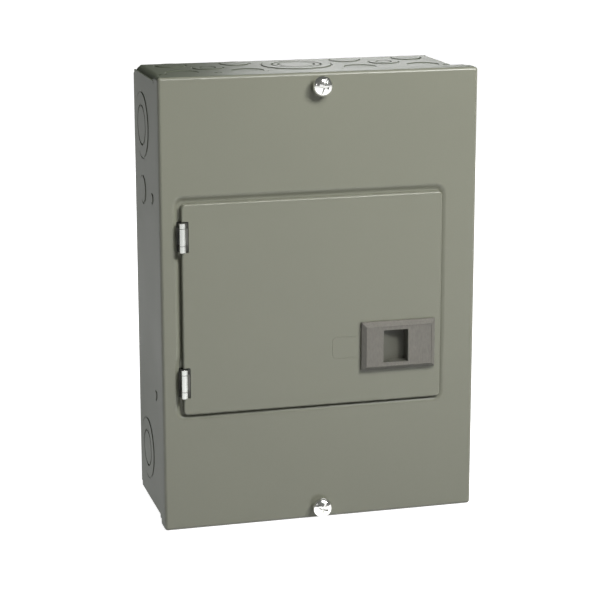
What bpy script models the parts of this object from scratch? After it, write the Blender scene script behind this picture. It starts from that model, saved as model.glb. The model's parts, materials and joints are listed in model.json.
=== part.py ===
"""Residential load center: a six-space indoor breaker panel with a hinged door in its front cover.

The origin is the middle of the enclosure's back face, where the panel meets the wall.
+X is to the right of someone facing the panel, the front faces -Y and +Z is up. Lengths are in metres.
"""

import math

import bmesh
import bpy
from mathutils import Matrix, Vector

MM = 0.001
CLEAR = 0.3 * MM

# Enclosure: a wrapper that is the back and both sides, closed by two flanged end walls.
DEPTH = 96.0 * MM
BOX_WIDTH = 225.2 * MM
BOX_HEIGHT = 316.2 * MM
BOX_SHEET = 1.2 * MM
BOX_FRONT = -93.7 * MM
SIDE_WALL_DROP = 2.4 * MM
END_WALL_BEND = 5.3 * MM
END_WALL_FLANGE = 15.0 * MM
BACK_HOLE = Vector((80.0, 0.0, 128.0)) * MM

# Front cover: a shallow pan with a pressed recess round the door.
COVER_WIDTH = 228.0 * MM
COVER_HEIGHT = 321.0 * MM
COVER_SHEET = 1.0 * MM
COVER_RETURN = 16.8 * MM
COVER_BEND = 2.8 * MM
CORNER_RELIEF = 6.0 * MM
RECESS_LEFT = -105.9 * MM
RECESS_RIGHT = 92.2 * MM
RECESS_HALF = 80.2 * MM
RECESS_SLOPE = 5.0 * MM
RECESS_DEPTH = 1.8 * MM
OPENING_LEFT = -88.0 * MM
OPENING_RIGHT = 80.0 * MM
OPENING_HALF = 66.0 * MM
COVER_SCREW_Z = 151.5 * MM
COVER_SCREW_HEAD = 7.0 * MM
COVER_SCREW_DOME = 5.5 * MM
COVER_SCREW_COLLAR = 4.6 * MM
COVER_SCREW_COLLAR_LENGTH = 3.2 * MM
COVER_SCREW_SHANK = 2.1 * MM
COVER_SCREW_LENGTH = 17.0 * MM

# Door: a shallow pan that lies in the recess, two millimetres proud of the cover, hung at its left edge.
DOOR_LEFT = -99.5 * MM
DOOR_RIGHT = 88.4 * MM
DOOR_BOTTOM = -75.8 * MM
DOOR_TOP = 73.9 * MM
DOOR_FACE = -98.0 * MM
DOOR_SHEET = 1.0 * MM
DOOR_RETURN = 2.9 * MM
DOOR_BEND = 1.2 * MM
DOOR_CORNER = 3.0 * MM

# Hinges: two rolled-knuckle hinges on one vertical axis.
AXIS = Vector((-99.1, -99.4, 0.0)) * MM
KNUCKLE_MID_RADIUS = 1.9 * MM
LEAF_SHEET = 0.8 * MM
PIN_RADIUS = 1.0 * MM
HINGE_LENGTH = 20.4 * MM
HINGE_BOTTOMS = {"upper": 40.8 * MM, "lower": -62.8 * MM}
LOWER_KNUCKLE = 4.5 * MM
UPPER_KNUCKLE = 3.5 * MM
COVER_LEAF_REACH = 10.2 * MM
COVER_LEAF_DEPTH = 6.9 * MM
DOOR_LEAF_REACH = 14.0 * MM
DOOR_LEAF_NECK = 3.2 * MM
DOOR_LEAF_DEPTH = 3.6 * MM
LEAF_PLATE = 0.9 * MM

# Latch: a moulded bezel on the door with a sliding bolt that is pushed to the left.
BEZEL_LOW = Vector((28.8, -103.1, -52.1)) * MM
BEZEL_HIGH = Vector((83.2, -98.3, -17.1)) * MM
BEZEL_CHAMFER = 2.9 * MM
BEZEL_WALL = 1.8 * MM
SCOOP_LOW = Vector((44.1, 0.0, -46.7)) * MM
SCOOP_HIGH = Vector((62.5, 0.0, -23.0)) * MM
LATCH_Z = -34.7 * MM
BOLT_BLOCK = (42.3, 68.8, -101.0, -93.3, -47.6, -21.6)
BOLT_ARM = (66.8, 78.7, -96.6, -94.4, -40.7, -28.7)
BOLT_POST = (75.5, 78.5, -95.4, -90.4, -40.2, -29.2)
BOLT_NOSE = (77.0, 84.6, -92.8, -90.5, -39.7, -29.7)
BOLT_SCOOP = (44.6, 62.1, -110.0, -94.6, -46.4, -23.3)
SCOOP_RISE = 5.2 * MM
NOSE_SLOPE = 2.5 * MM
SPRING_START = 31.4 * MM
SPRING_LENGTH = 10.2 * MM
SPRING_RADIUS = 1.9 * MM
SPRING_WIRE = 0.28 * MM
CLIP_LOW_X = 45.8 * MM
CLIP_HIGH_X = 61.8 * MM
CLIP_PATH = ((-96.2, -60.2), (-96.2, -53.7), (-92.5, -53.7), (-92.5, -15.7), (-96.2, -15.7), (-96.2, -9.2))

# Interior: two columns of three plug-on breakers over a centre bus.
PITCH = 25.4 * MM
ROWS = (PITCH, 0.0, -PITCH)
BREAKER_INNER = 3.0 * MM
BREAKER_OUTER = 79.0 * MM
BREAKER_WIDTH = 25.0 * MM
BREAKER_FOOT = -23.0 * MM
BREAKER_SHOULDER = -76.0 * MM
BREAKER_NOSE = -83.5 * MM
TERMINAL_SEAT = -58.0 * MM
HANDLE_X = 35.0 * MM
HANDLE_Y = -75.5 * MM
HANDLE_DRUM = 7.0 * MM
HANDLE_TILT = math.radians(20.0)
HANDLE_HALF = 5.9 * MM
HANDLE_REACH = 16.8 * MM
NOSE_INNER = 14.0 * MM
NOSE_OUTER = 56.0 * MM
TERMINAL_STEP = 63.0 * MM
TERMINAL_X = 71.0 * MM
PAN_HALF = 84.0 * MM
PAN_LEVEL = -5.7 * MM
PAN_FOOT = -2.1 * MM
PAN_SCREWS = ((-60.0, -50.0), (-60.0, 90.0), (60.0, -50.0), (60.0, 90.0))
BASE_BLOCK = (-33.0, 33.0, -20.0, -6.6, -46.0, 98.0)
RAIL_PATH = ((72.0, -7.4), (81.0, -7.4), (81.0, -30.0), (77.0, -30.0))
RAIL_HALF = 39.0 * MM
LINE_LUG = (15.0 * MM, -22.6 * MM, 80.0 * MM)
NEUTRAL_BAR = (-101.0, -91.5, -44.0, -34.5, -70.0, 98.0)
GROUND_BAR = (91.5, 101.0, -11.0, -1.5, -70.0, 50.0)
NEUTRAL_X = -96.25 * MM
BOND_Z = -83.0 * MM
DEAD_FRONT_PLATE = -79.0 * MM
DEAD_FRONT_SHEET = 1.0 * MM

for old in list(bpy.data.objects):
    bpy.data.objects.remove(old, do_unlink=True)

PARTS = bpy.data.collections.new("residential_load_center")
CUTTERS = bpy.data.collections.new("cutters")
bpy.context.scene.collection.children.link(PARTS)
bpy.context.scene.collection.children.link(CUTTERS)

# Each finish is a base colour, a roughness and a metallic value.
FINISHES = {
    "grey_enamel": ((0.245, 0.250, 0.200), 0.45, 0.0),
    "zinc": ((0.62, 0.62, 0.60), 0.30, 1.0),
    "bezel_plastic": ((0.200, 0.185, 0.160), 0.50, 0.0),
    "black_plastic": ((0.025, 0.025, 0.025), 0.45, 0.0),
    "base_plastic": ((0.060, 0.050, 0.045), 0.55, 0.0),
    "white_plastic": ((0.70, 0.70, 0.66), 0.45, 0.0),
    "galvanised": ((0.48, 0.49, 0.50), 0.42, 1.0),
    "aluminium": ((0.72, 0.73, 0.74), 0.38, 1.0),
    "brass": ((0.62, 0.45, 0.20), 0.35, 1.0),
    "green_screw": ((0.05, 0.28, 0.10), 0.40, 0.3),
    "spring_steel": ((0.45, 0.45, 0.46), 0.30, 1.0),
}


def material(part, finish):
    """A material of the part's own, in the named finish."""
    colour, roughness, metallic = FINISHES[finish]
    made = bpy.data.materials.new(part + "_" + finish)
    made.use_nodes = True
    shader = made.node_tree.nodes["Principled BSDF"]
    shader.inputs["Base Color"].default_value = (*colour, 1.0)
    shader.inputs["Roughness"].default_value = roughness
    shader.inputs["Metallic"].default_value = metallic
    return made


def finished(name, bm, finish, round_piece=False):
    """The bmesh as a named object of the part."""
    mesh = bpy.data.meshes.new(name)
    bm.to_mesh(mesh)
    bm.free()
    if round_piece:
        mesh.shade_smooth()
        mesh.set_sharp_from_angle(angle=math.radians(35.0))
    obj = bpy.data.objects.new(name, mesh)
    obj.data.materials.append(material(name, finish))
    PARTS.objects.link(obj)
    return obj


def helper(name, bm):
    """The bmesh as a cutter or an added shape, which isn't a part."""
    mesh = bpy.data.meshes.new(name)
    bm.to_mesh(mesh)
    bm.free()
    obj = bpy.data.objects.new(name, mesh)
    CUTTERS.objects.link(obj)
    obj.hide_render = True
    obj.display_type = "WIRE"
    return obj


def put_away(obj):
    """Makes a part's object a helper."""
    PARTS.objects.unlink(obj)
    CUTTERS.objects.link(obj)
    obj.hide_render = True
    obj.display_type = "WIRE"
    return obj


def block(bm, low, high):
    """A box between two corners."""
    low = Vector(low)
    high = Vector(high)
    size = high - low
    place = Matrix.Translation((low + high) / 2) @ Matrix.Diagonal((*size, 1.0))
    return bmesh.ops.create_cube(bm, size=1.0, matrix=place)["verts"]


def block_mm(bm, x0, x1, y0, y1, z0, z1):
    """A box between two corners given in millimetres."""
    return block(bm, Vector((x0, y0, z0)) * MM, Vector((x1, y1, z1)) * MM)


def rod(bm, start, end, radius, sides=24):
    """A round bar between two points."""
    start = Vector(start)
    end = Vector(end)
    along = end - start
    turn = along.to_track_quat("Z", "Y").to_matrix().to_4x4()
    place = Matrix.Translation((start + end) / 2) @ turn
    made = bmesh.ops.create_cone(
        bm, cap_ends=True, segments=sides, radius1=radius, radius2=radius, depth=along.length, matrix=place
    )
    return made["verts"]


def combine(obj, other, operation):
    """A Boolean of obj with a helper object."""
    step = obj.modifiers.new(operation.lower(), "BOOLEAN")
    step.operation = operation
    step.object = other
    step.solver = "EXACT"


def arc(middle, radius, start, end, steps):
    """Points on an arc, with angles in degrees."""
    points = []
    for step in range(steps + 1):
        angle = math.radians(start + (end - start) * step / steps)
        points.append((middle[0] + radius * math.cos(angle), middle[1] + radius * math.sin(angle)))
    return points


def bent_sheet(name, path, axis, low, high, thickness, finish):
    """A strip of sheet metal whose middle follows a path, drawn out along an axis."""
    bm = bmesh.new()
    order = {"X": (2, 0, 1), "Y": (0, 2, 1), "Z": (0, 1, 2)}[axis]
    verts = []
    for along, across in path:
        point = (along, across, low)
        verts.append(bm.verts.new([point[index] for index in order]))
    edges = [bm.edges.new(pair) for pair in zip(verts, verts[1:])]
    made = bmesh.ops.extrude_edge_only(bm, edges=edges)["geom"]
    reach = Vector((0.0, 0.0, high - low))
    moved = [item for item in made if isinstance(item, bmesh.types.BMVert)]
    bmesh.ops.translate(bm, vec=Vector([reach[index] for index in order]), verts=moved)
    obj = finished(name, bm, finish, round_piece=True)
    sheet = obj.modifiers.new("sheet", "SOLIDIFY")
    sheet.thickness = thickness
    sheet.offset = 0.0
    sheet.use_even_offset = True
    return obj


def pan(name, low, high, sheet, finish, shape):
    """A pan of sheet metal, open at the back. shape() works its outer skin before it gets thickness."""
    bm = bmesh.new()
    block(bm, low, high)
    back = [face for face in bm.faces if face.normal.y > 0.9]
    bmesh.ops.delete(bm, geom=back, context="FACES_ONLY")
    shape(bm)
    obj = finished(name, bm, finish, round_piece=True)
    walls = obj.modifiers.new("sheet", "SOLIDIFY")
    walls.thickness = sheet
    walls.offset = -1.0
    walls.use_even_offset = True
    return obj


def edges_where(bm, test):
    """The edges whose two ends both pass the test."""
    return [edge for edge in bm.edges if all(test(vert.co) for vert in edge.verts)]


def rounded(bm, edges, radius, segments):
    """Rounds the given edges."""
    bmesh.ops.bevel(
        bm, geom=edges, affect="EDGES", offset=radius, segments=segments, profile=0.5,
        material=-1, clamp_overlap=True,
    )


def origin_on(obj, point):
    """Moves an object's origin without moving its shape."""
    obj.data.transform(Matrix.Translation(-Vector(point)))
    obj.location = point


def frozen_mesh(obj):
    """The object's mesh with its modifiers applied."""
    graph = bpy.context.evaluated_depsgraph_get()
    graph.update()
    return bpy.data.meshes.new_from_object(obj.evaluated_get(graph))


def parent_to(empty, *pieces):
    """Parents pieces to an empty and leaves them where they are."""
    for piece in pieces:
        piece.parent = empty
        piece.matrix_parent_inverse = Matrix.Translation(-empty.location)


def joint_empty(name, point):
    """An empty that marks a joint's axis."""
    empty = bpy.data.objects.new(name, None)
    empty.location = point
    empty.empty_display_size = 0.01
    PARTS.objects.link(empty)
    return empty


def enclosure():
    """The wrapper and its two end walls."""
    side = (BOX_WIDTH - BOX_SHEET) / 2
    back = -BOX_SHEET / 2
    bend = 1.0 * MM
    path = [(-side, BOX_FRONT), *arc((bend - side, back - bend), bend, 180, 90, 4)]
    path += [*arc((side - bend, back - bend), bend, 90, 0, 4), (side, BOX_FRONT)]
    wrapper = bent_sheet(
        "enclosure_body", path, "Z", -BOX_HEIGHT / 2, BOX_HEIGHT / 2, BOX_SHEET, "grey_enamel"
    )
    bm = bmesh.new()
    for x_side in (-1, 1):
        for z_side in (-1, 1):
            level = z_side * (BOX_HEIGHT / 2 - SIDE_WALL_DROP)
            near = Vector((x_side * (BOX_WIDTH / 2 - 4 * BOX_SHEET), -DEPTH, level))
            far = Vector((x_side * COVER_WIDTH / 2, -3.5 * MM, z_side * COVER_HEIGHT / 2))
            low = Vector(map(min, near, far))
            high = Vector(map(max, near, far))
            block(bm, low, high)
            hole = Vector((x_side * BACK_HOLE.x, 0.0, z_side * BACK_HOLE.z))
            rod(bm, hole + Vector((0, -0.005, 0)), hole + Vector((0, 0.005, 0)), 3.2 * MM, 20)
    combine(wrapper, helper("enclosure_cuts", bm), "DIFFERENCE")
    for name, z_side in (("top_end_wall", 1), ("bottom_end_wall", -1)):
        end_wall(name, z_side)


def end_wall(name, z_side):
    """One end wall: a sheet whose ends bend into the box, with a flange at the front and at the back."""
    half = BOX_WIDTH / 2 - BOX_SHEET - CLEAR - BOX_SHEET / 2
    level = BOX_HEIGHT / 2 - BOX_SHEET / 2
    foot = BOX_HEIGHT / 2 - END_WALL_FLANGE
    bend = END_WALL_BEND
    path = [(-half, foot), *arc((bend - half, level - bend), bend, 180, 90, 6)]
    path += [*arc((half - bend, level - bend), bend, 90, 0, 6), (half, foot)]
    path = [(x, z * z_side) for x, z in path]
    rear = -BOX_SHEET - CLEAR
    wall = bent_sheet(name, path, "Y", BOX_FRONT, rear, BOX_SHEET, "grey_enamel")
    inset = 0.05 * MM
    for place, front in (("front", BOX_FRONT + inset), ("rear", rear - BOX_SHEET - inset)):
        bm = bmesh.new()
        heights = sorted((z_side * foot, z_side * level))
        reach = half - bend - 1.0 * MM
        block(bm, (-reach, front, heights[0]), (reach, front + BOX_SHEET, heights[1]))
        combine(wall, helper(name + "_" + place + "_flange", bm), "UNION")
    bm = bmesh.new()
    hole = Vector((0.0, BOX_FRONT, z_side * COVER_SCREW_Z))
    rod(bm, hole + Vector((0, -0.004, 0)), hole + Vector((0, 0.004, 0)), 2.5 * MM, 20)
    combine(wall, helper(name + "_screw_hole", bm), "DIFFERENCE")


def cover():
    """The front cover with its recess, its opening, its hinge slots and its screw holes."""

    def shape(bm):
        for point, normal in (
            ((RECESS_LEFT, 0, 0), (1, 0, 0)),
            ((RECESS_RIGHT, 0, 0), (1, 0, 0)),
            ((0, 0, RECESS_HALF), (0, 0, 1)),
            ((0, 0, -RECESS_HALF), (0, 0, 1)),
        ):
            everything = [*bm.verts, *bm.edges, *bm.faces]
            bmesh.ops.bisect_plane(bm, geom=everything, dist=1e-7, plane_co=point, plane_no=normal)
        middle = [
            face
            for face in bm.faces
            if face.normal.y < -0.9
            and RECESS_LEFT < face.calc_center_median().x < RECESS_RIGHT
            and abs(face.calc_center_median().z) < RECESS_HALF
        ]
        bmesh.ops.inset_individual(bm, faces=middle, thickness=RECESS_SLOPE)
        bmesh.ops.translate(bm, vec=(0, RECESS_DEPTH, 0), verts=middle[0].verts)

        def on_rim(point):
            on_side = abs(abs(point.x) - COVER_WIDTH / 2) < 1e-6
            on_end = abs(abs(point.z) - COVER_HEIGHT / 2) < 1e-6
            return abs(point.y + DEPTH) < 1e-6 and (on_side or on_end)

        rounded(bm, edges_where(bm, on_rim), COVER_BEND, 3)

    low = (-COVER_WIDTH / 2, -DEPTH, -COVER_HEIGHT / 2)
    high = (COVER_WIDTH / 2, -DEPTH + COVER_RETURN, COVER_HEIGHT / 2)
    plate = pan("cover", low, high, COVER_SHEET, "grey_enamel", shape)
    bm = bmesh.new()
    block(bm, (OPENING_LEFT, -0.1, -OPENING_HALF), (OPENING_RIGHT, -0.09, OPENING_HALF))
    corners = [edge for edge in bm.edges if abs((edge.verts[0].co - edge.verts[1].co).y) > 1e-4]
    rounded(bm, corners, 3.0 * MM, 3)
    combine(plate, helper("cover_opening", bm), "DIFFERENCE")
    bm = bmesh.new()
    for bottom in HINGE_BOTTOMS.values():
        low = Vector((AXIS.x - 3.9 * MM, -0.1, bottom - 0.6 * MM))
        block(bm, low, low + Vector((8.2 * MM, 0.01, HINGE_LENGTH + 1.2 * MM)))
    for z_side in (-1, 1):
        hole = Vector((0.0, -DEPTH, z_side * COVER_SCREW_Z))
        rod(bm, hole + Vector((0, -0.004, 0)), hole + Vector((0, 0.004, 0)), 2.5 * MM, 20)
        for x_side in (-1, 1):
            corner = Vector((x_side * COVER_WIDTH / 2, -DEPTH + COVER_RETURN, z_side * COVER_HEIGHT / 2))
            size = Matrix.Diagonal((CORNER_RELIEF * 1.4, CORNER_RELIEF * 1.4, CORNER_RELIEF * 1.4, 1.0))
            turn = Matrix.Rotation(math.radians(45), 4, "Y")
            bmesh.ops.create_cube(bm, size=1.0, matrix=Matrix.Translation(corner) @ turn @ size)
    combine(plate, helper("cover_slots_and_holes", bm), "DIFFERENCE")


def cover_screw(name, height):
    """A wide domed screw that stands on a collar."""
    seat = DEPTH + CLEAR
    head = seat + COVER_SCREW_COLLAR_LENGTH
    edge = 1.0 * MM
    profile = [(0.0, head + COVER_SCREW_DOME)]
    for step in range(1, 7):
        angle = math.radians(90.0 * step / 6)
        level = head + edge + (COVER_SCREW_DOME - edge) * math.cos(angle)
        profile.append((COVER_SCREW_HEAD * math.sin(angle), level))
    profile += [(COVER_SCREW_HEAD, head), (COVER_SCREW_COLLAR, head), (COVER_SCREW_COLLAR, seat)]
    profile += [(COVER_SCREW_SHANK, seat), (COVER_SCREW_SHANK, seat - COVER_SCREW_LENGTH + edge)]
    profile += [(0.0, seat - COVER_SCREW_LENGTH)]
    bm = bmesh.new()
    verts = [bm.verts.new((radius, 0.0, level)) for radius, level in profile]
    for pair in zip(verts, verts[1:]):
        bm.edges.new(pair)
    obj = finished(name, bm, "zinc", round_piece=True)
    turned = obj.modifiers.new("turned", "SCREW")
    turned.axis = "Z"
    turned.angle = math.tau
    turned.steps = 28
    turned.render_steps = 28
    turned.use_merge_vertices = True
    turned.merge_threshold = 1e-6
    obj.location = (0.0, 0.0, height)
    obj.rotation_euler = (math.radians(90), 0.0, 0.0)


def dead_front():
    """The tray behind the opening: a flange on the cover's back, four walls, and a plate with two windows."""
    wall = 1.5 * MM
    flange = -DEPTH + RECESS_DEPTH + COVER_SHEET + CLEAR
    bm = bmesh.new()
    low = (OPENING_LEFT - wall, flange, -OPENING_HALF - wall)
    high = (OPENING_RIGHT + wall, DEAD_FRONT_PLATE, OPENING_HALF + wall)
    block(bm, low, high)
    front = [face for face in bm.faces if face.normal.y < -0.9]
    rim = front[0].edges[:]
    bmesh.ops.delete(bm, geom=front, context="FACES_ONLY")
    made = bmesh.ops.extrude_edge_only(bm, edges=rim)["geom"]
    for vert in [item for item in made if isinstance(item, bmesh.types.BMVert)]:
        reach = 5.0 * MM
        if vert.co.x < 0:
            reach = 9.0 * MM
        vert.co.x += math.copysign(reach, vert.co.x)
        vert.co.z += math.copysign(6.5 * MM, vert.co.z)
    bmesh.ops.recalc_face_normals(bm, faces=bm.faces[:])
    plate = max(bm.faces, key=lambda face: face.calc_center_median().y)
    if plate.normal.y > 0:
        bmesh.ops.reverse_faces(bm, faces=bm.faces[:])
    obj = finished("dead_front", bm, "grey_enamel", round_piece=True)
    sheet = obj.modifiers.new("sheet", "SOLIDIFY")
    sheet.thickness = DEAD_FRONT_SHEET
    sheet.offset = -1.0
    sheet.use_even_offset = True
    bm = bmesh.new()
    for x_side in (-1, 1):
        inner = x_side * 13.4 * MM
        outer = x_side * 56.6 * MM
        block(bm, (min(inner, outer), -0.09, -38.4 * MM), (max(inner, outer), -0.07, 38.4 * MM))
    strike = Vector((OPENING_RIGHT - 0.5 * MM, -DEPTH, LATCH_Z - 9.0 * MM))
    block(bm, strike, strike + Vector((12.0 * MM, 8.5 * MM, 18.0 * MM)))
    combine(obj, helper("dead_front_windows", bm), "DIFFERENCE")


def door():
    """The door pan, with notches for the hinge barrels and a cutout for the latch."""

    def shape(bm):
        corners = [edge for edge in bm.edges if abs((edge.verts[0].co - edge.verts[1].co).y) > 1e-4]
        rounded(bm, corners, DOOR_CORNER, 4)
        rounded(bm, edges_where(bm, lambda point: abs(point.y - DOOR_FACE) < 1e-6), DOOR_BEND, 2)

    low = (DOOR_LEFT, DOOR_FACE, DOOR_BOTTOM)
    high = (DOOR_RIGHT, DOOR_FACE + DOOR_RETURN, DOOR_TOP)
    obj = pan("door", low, high, DOOR_SHEET, "grey_enamel", shape)
    bm = bmesh.new()
    for bottom in HINGE_BOTTOMS.values():
        low = Vector((AXIS.x - 2.0 * MM, DOOR_FACE - 0.002, bottom - 0.7 * MM))
        block(bm, low, low + Vector((6.6 * MM, 0.012, HINGE_LENGTH + 1.4 * MM)))
    inset = BEZEL_WALL + 0.4 * MM
    low = BEZEL_LOW + Vector((inset, 0.002, inset))
    high = BEZEL_HIGH - Vector((inset, -0.003, inset))
    block(bm, low, high)
    combine(obj, helper("door_cutouts", bm), "DIFFERENCE")
    return obj


def hinge(place, bottom):
    """One hinge: a leaf behind the cover, a leaf inside the door, and the pin."""
    top = bottom + HINGE_LENGTH
    radius = KNUCKLE_MID_RADIUS
    path = [(AXIS.x - radius, AXIS.y + COVER_LEAF_DEPTH)]
    path += arc(AXIS.xy, radius, 180, 500, 16)
    upper = bent_sheet("knuckle_" + place, path, "Z", top - UPPER_KNUCKLE, top, LEAF_SHEET, "zinc")
    put_away(upper)
    fixed = bent_sheet(
        "hinge_cover_leaf_" + place, path, "Z", bottom, bottom + LOWER_KNUCKLE, LEAF_SHEET, "zinc"
    )
    bm = bmesh.new()
    level = AXIS.y + COVER_LEAF_DEPTH - LEAF_PLATE / 2
    low = (AXIS.x - COVER_LEAF_REACH, level, bottom + 0.05 * MM)
    block(bm, low, (AXIS.x - 1.0 * MM, level + LEAF_PLATE, top - 0.05 * MM))
    combine(fixed, helper("cover_leaf_plate_" + place, bm), "UNION")
    combine(fixed, upper, "UNION")
    path = [(AXIS.x + 4.0 * MM, AXIS.y + radius)]
    path += arc(AXIS.xy, radius, 90, 380, 15)
    low_end = bottom + LOWER_KNUCKLE + CLEAR
    high_end = top - UPPER_KNUCKLE - CLEAR
    moving = bent_sheet("hinge_door_leaf_" + place, path, "Z", low_end, high_end, LEAF_SHEET, "zinc")
    bm = bmesh.new()
    level = AXIS.y + DOOR_LEAF_DEPTH
    low = (AXIS.x + DOOR_LEAF_NECK, level - LEAF_PLATE, bottom)
    block(bm, low, (AXIS.x + DOOR_LEAF_REACH, level, top))
    combine(moving, helper("door_leaf_plate_" + place, bm), "UNION")
    bm = bmesh.new()
    low = (AXIS.x + DOOR_LEAF_NECK, AXIS.y + radius - CLEAR, low_end + 0.05 * MM)
    high = (AXIS.x + DOOR_LEAF_NECK + LEAF_PLATE, level - 0.1 * MM, high_end - 0.05 * MM)
    block(bm, low, high)
    combine(moving, helper("door_leaf_neck_" + place, bm), "UNION")
    bm = bmesh.new()
    rod(bm, (AXIS.x, AXIS.y, bottom), (AXIS.x, AXIS.y, top), PIN_RADIUS, 16)
    finished("hinge_pin_" + place, bm, "zinc", round_piece=True)
    return moving


def latch():
    """The bezel, the sliding bolt with its finger scoop, the spring and the clip that holds them in."""
    bm = bmesh.new()
    block(bm, BEZEL_LOW, BEZEL_HIGH)
    rounded(bm, edges_where(bm, lambda point: abs(point.y - BEZEL_LOW.y) < 1e-6), BEZEL_CHAMFER, 1)
    bezel = finished("latch_bezel", bm, "bezel_plastic")
    bm = bmesh.new()
    wall = Vector((BEZEL_WALL, BEZEL_WALL, BEZEL_WALL))
    block(bm, BEZEL_LOW + wall, BEZEL_HIGH + Vector((-BEZEL_WALL, 0.002, -BEZEL_WALL)))
    combine(bezel, helper("bezel_hollow", bm), "DIFFERENCE")
    bm = bmesh.new()
    block(bm, (SCOOP_LOW.x, -0.110, SCOOP_LOW.z), (SCOOP_HIGH.x, -0.095, SCOOP_HIGH.z))
    combine(bezel, helper("bezel_window", bm), "DIFFERENCE")

    bm = bmesh.new()
    block_mm(bm, *BOLT_BLOCK)
    slider = finished("latch_slider", bm, "bezel_plastic")
    bm = bmesh.new()
    block_mm(bm, *BOLT_ARM)
    combine(slider, helper("bolt_arm", bm), "UNION")
    bm = bmesh.new()
    block_mm(bm, *BOLT_POST)
    combine(slider, helper("bolt_post", bm), "UNION")
    bm = bmesh.new()
    nose = block_mm(bm, *BOLT_NOSE)
    tip = [vert for vert in nose if vert.co.x > 0.08 and vert.co.y > -0.091]
    bmesh.ops.translate(bm, vec=(-NOSE_SLOPE, 0, 0), verts=tip)
    combine(slider, helper("bolt_nose", bm), "UNION")
    bm = bmesh.new()
    ramp = block_mm(bm, *BOLT_SCOOP)
    shallow = [vert for vert in ramp if vert.co.x < 0.05 and vert.co.y > -0.1]
    bmesh.ops.translate(bm, vec=(0, -SCOOP_RISE, 0), verts=shallow)
    combine(slider, helper("scoop_ramp", bm), "DIFFERENCE")
    origin_on(slider, (0.0, DOOR_FACE, LATCH_Z))

    turns = 6
    steps = 10
    spring = bpy.data.curves.new("latch_spring", "CURVE")
    spring.dimensions = "3D"
    spring.bevel_depth = SPRING_WIRE
    spring.bevel_resolution = 2
    spring.use_fill_caps = True
    spline = spring.splines.new("POLY")
    spline.points.add(turns * steps)
    for index, point in enumerate(spline.points):
        angle = math.tau * index / steps
        along = SPRING_START + SPRING_LENGTH * index / (turns * steps)
        across = DOOR_FACE + SPRING_RADIUS * math.cos(angle)
        point.co = (along, across, LATCH_Z + SPRING_RADIUS * math.sin(angle), 1.0)
    coil = bpy.data.objects.new("latch_spring", spring)
    spring.materials.append(material("latch_spring", "spring_steel"))
    PARTS.objects.link(coil)

    path = [(y * MM, z * MM) for y, z in CLIP_PATH]
    retainer = bent_sheet("latch_retainer", path, "X", CLIP_LOW_X, CLIP_HIGH_X, LEAF_SHEET, "galvanised")
    return bezel, slider, coil, retainer


def interior():
    """The mounting pan with the insulating base, the rails and the bus."""
    path = [(-PAN_HALF, PAN_FOOT), (-PAN_HALF, PAN_LEVEL), (PAN_HALF, PAN_LEVEL), (PAN_HALF, PAN_FOOT)]
    plate = bent_sheet("interior_pan", path, "Z", -60.0 * MM, 104.0 * MM, BOX_SHEET, "galvanised")
    places = [(x * MM, z * MM) for x, z in PAN_SCREWS]
    holes = bmesh.new()
    for number, (x, z) in enumerate(places, 1):
        rod(holes, (x, -0.010, z), (x, 0.0, z), 2.5 * MM, 16)
        machine_screw(f"interior_screw_{number}", Vector((x, -6.6 * MM, z)), 4.5 * MM, 2.6 * MM, 5.0 * MM)
    combine(plate, helper("interior_pan_holes", holes), "DIFFERENCE")

    bm = bmesh.new()
    block_mm(bm, *BASE_BLOCK)
    rounded(bm, bm.edges[:], 1.5 * MM, 2)
    base = finished("insulating_base", bm, "base_plastic")
    bm = bmesh.new()
    for z in (-12.7, 12.7):
        block_mm(bm, -2.3, 2.3, -33.0, -19.0, z - 7.0, z + 7.0)
    combine(base, helper("phase_barriers", bm), "UNION")

    for name, side, rows in (("bus_bar_a", -1, (PITCH, -PITCH)), ("bus_bar_b", 1, (0.0,))):
        bm = bmesh.new()
        edges = sorted((side * 10.0, side * 20.0))
        block_mm(bm, *edges, -22.3, -20.3, -40.0, 92.0)
        bar = finished(name, bm, "aluminium")
        bm = bmesh.new()
        for row in rows:
            z = row / MM
            ends = sorted((side * 19.5, side * -14.0))
            block_mm(bm, *ends, -37.0, -24.0, z - 1.0, z + 1.0)
        stabs = helper(name + "_stabs", bm)
        bm = bmesh.new()
        for row in rows:
            z = row / MM
            feet = sorted((side * 19.0, side * 11.0))
            block_mm(bm, *feet, -24.6, -21.0, z - 0.9, z + 0.9)
        combine(bar, helper(name + "_feet", bm), "UNION")
        combine(bar, stabs, "UNION")

    for name, side in (("breaker_rail_left", -1), ("breaker_rail_right", 1)):
        path = [(side * x * MM, y * MM) for x, y in RAIL_PATH]
        bent_sheet(name, path, "Z", -RAIL_HALF, RAIL_HALF, BOX_SHEET, "galvanised")


def machine_screw(name, seat, head_radius, head_height, shank_length, finish="zinc", sides=20):
    """A screw driven towards +Y, with its head standing on the seat."""
    bm = bmesh.new()
    rod(bm, seat - Vector((0.0, head_height, 0.0)), seat, head_radius, sides)
    head = finished(name, bm, finish, round_piece=True)
    bm = bmesh.new()
    rod(bm, seat - Vector((0.0, head_height / 2, 0.0)), seat + Vector((0.0, shank_length, 0.0)), 2.0 * MM, 16)
    combine(head, helper(name + "_shank", bm), "UNION")


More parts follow.
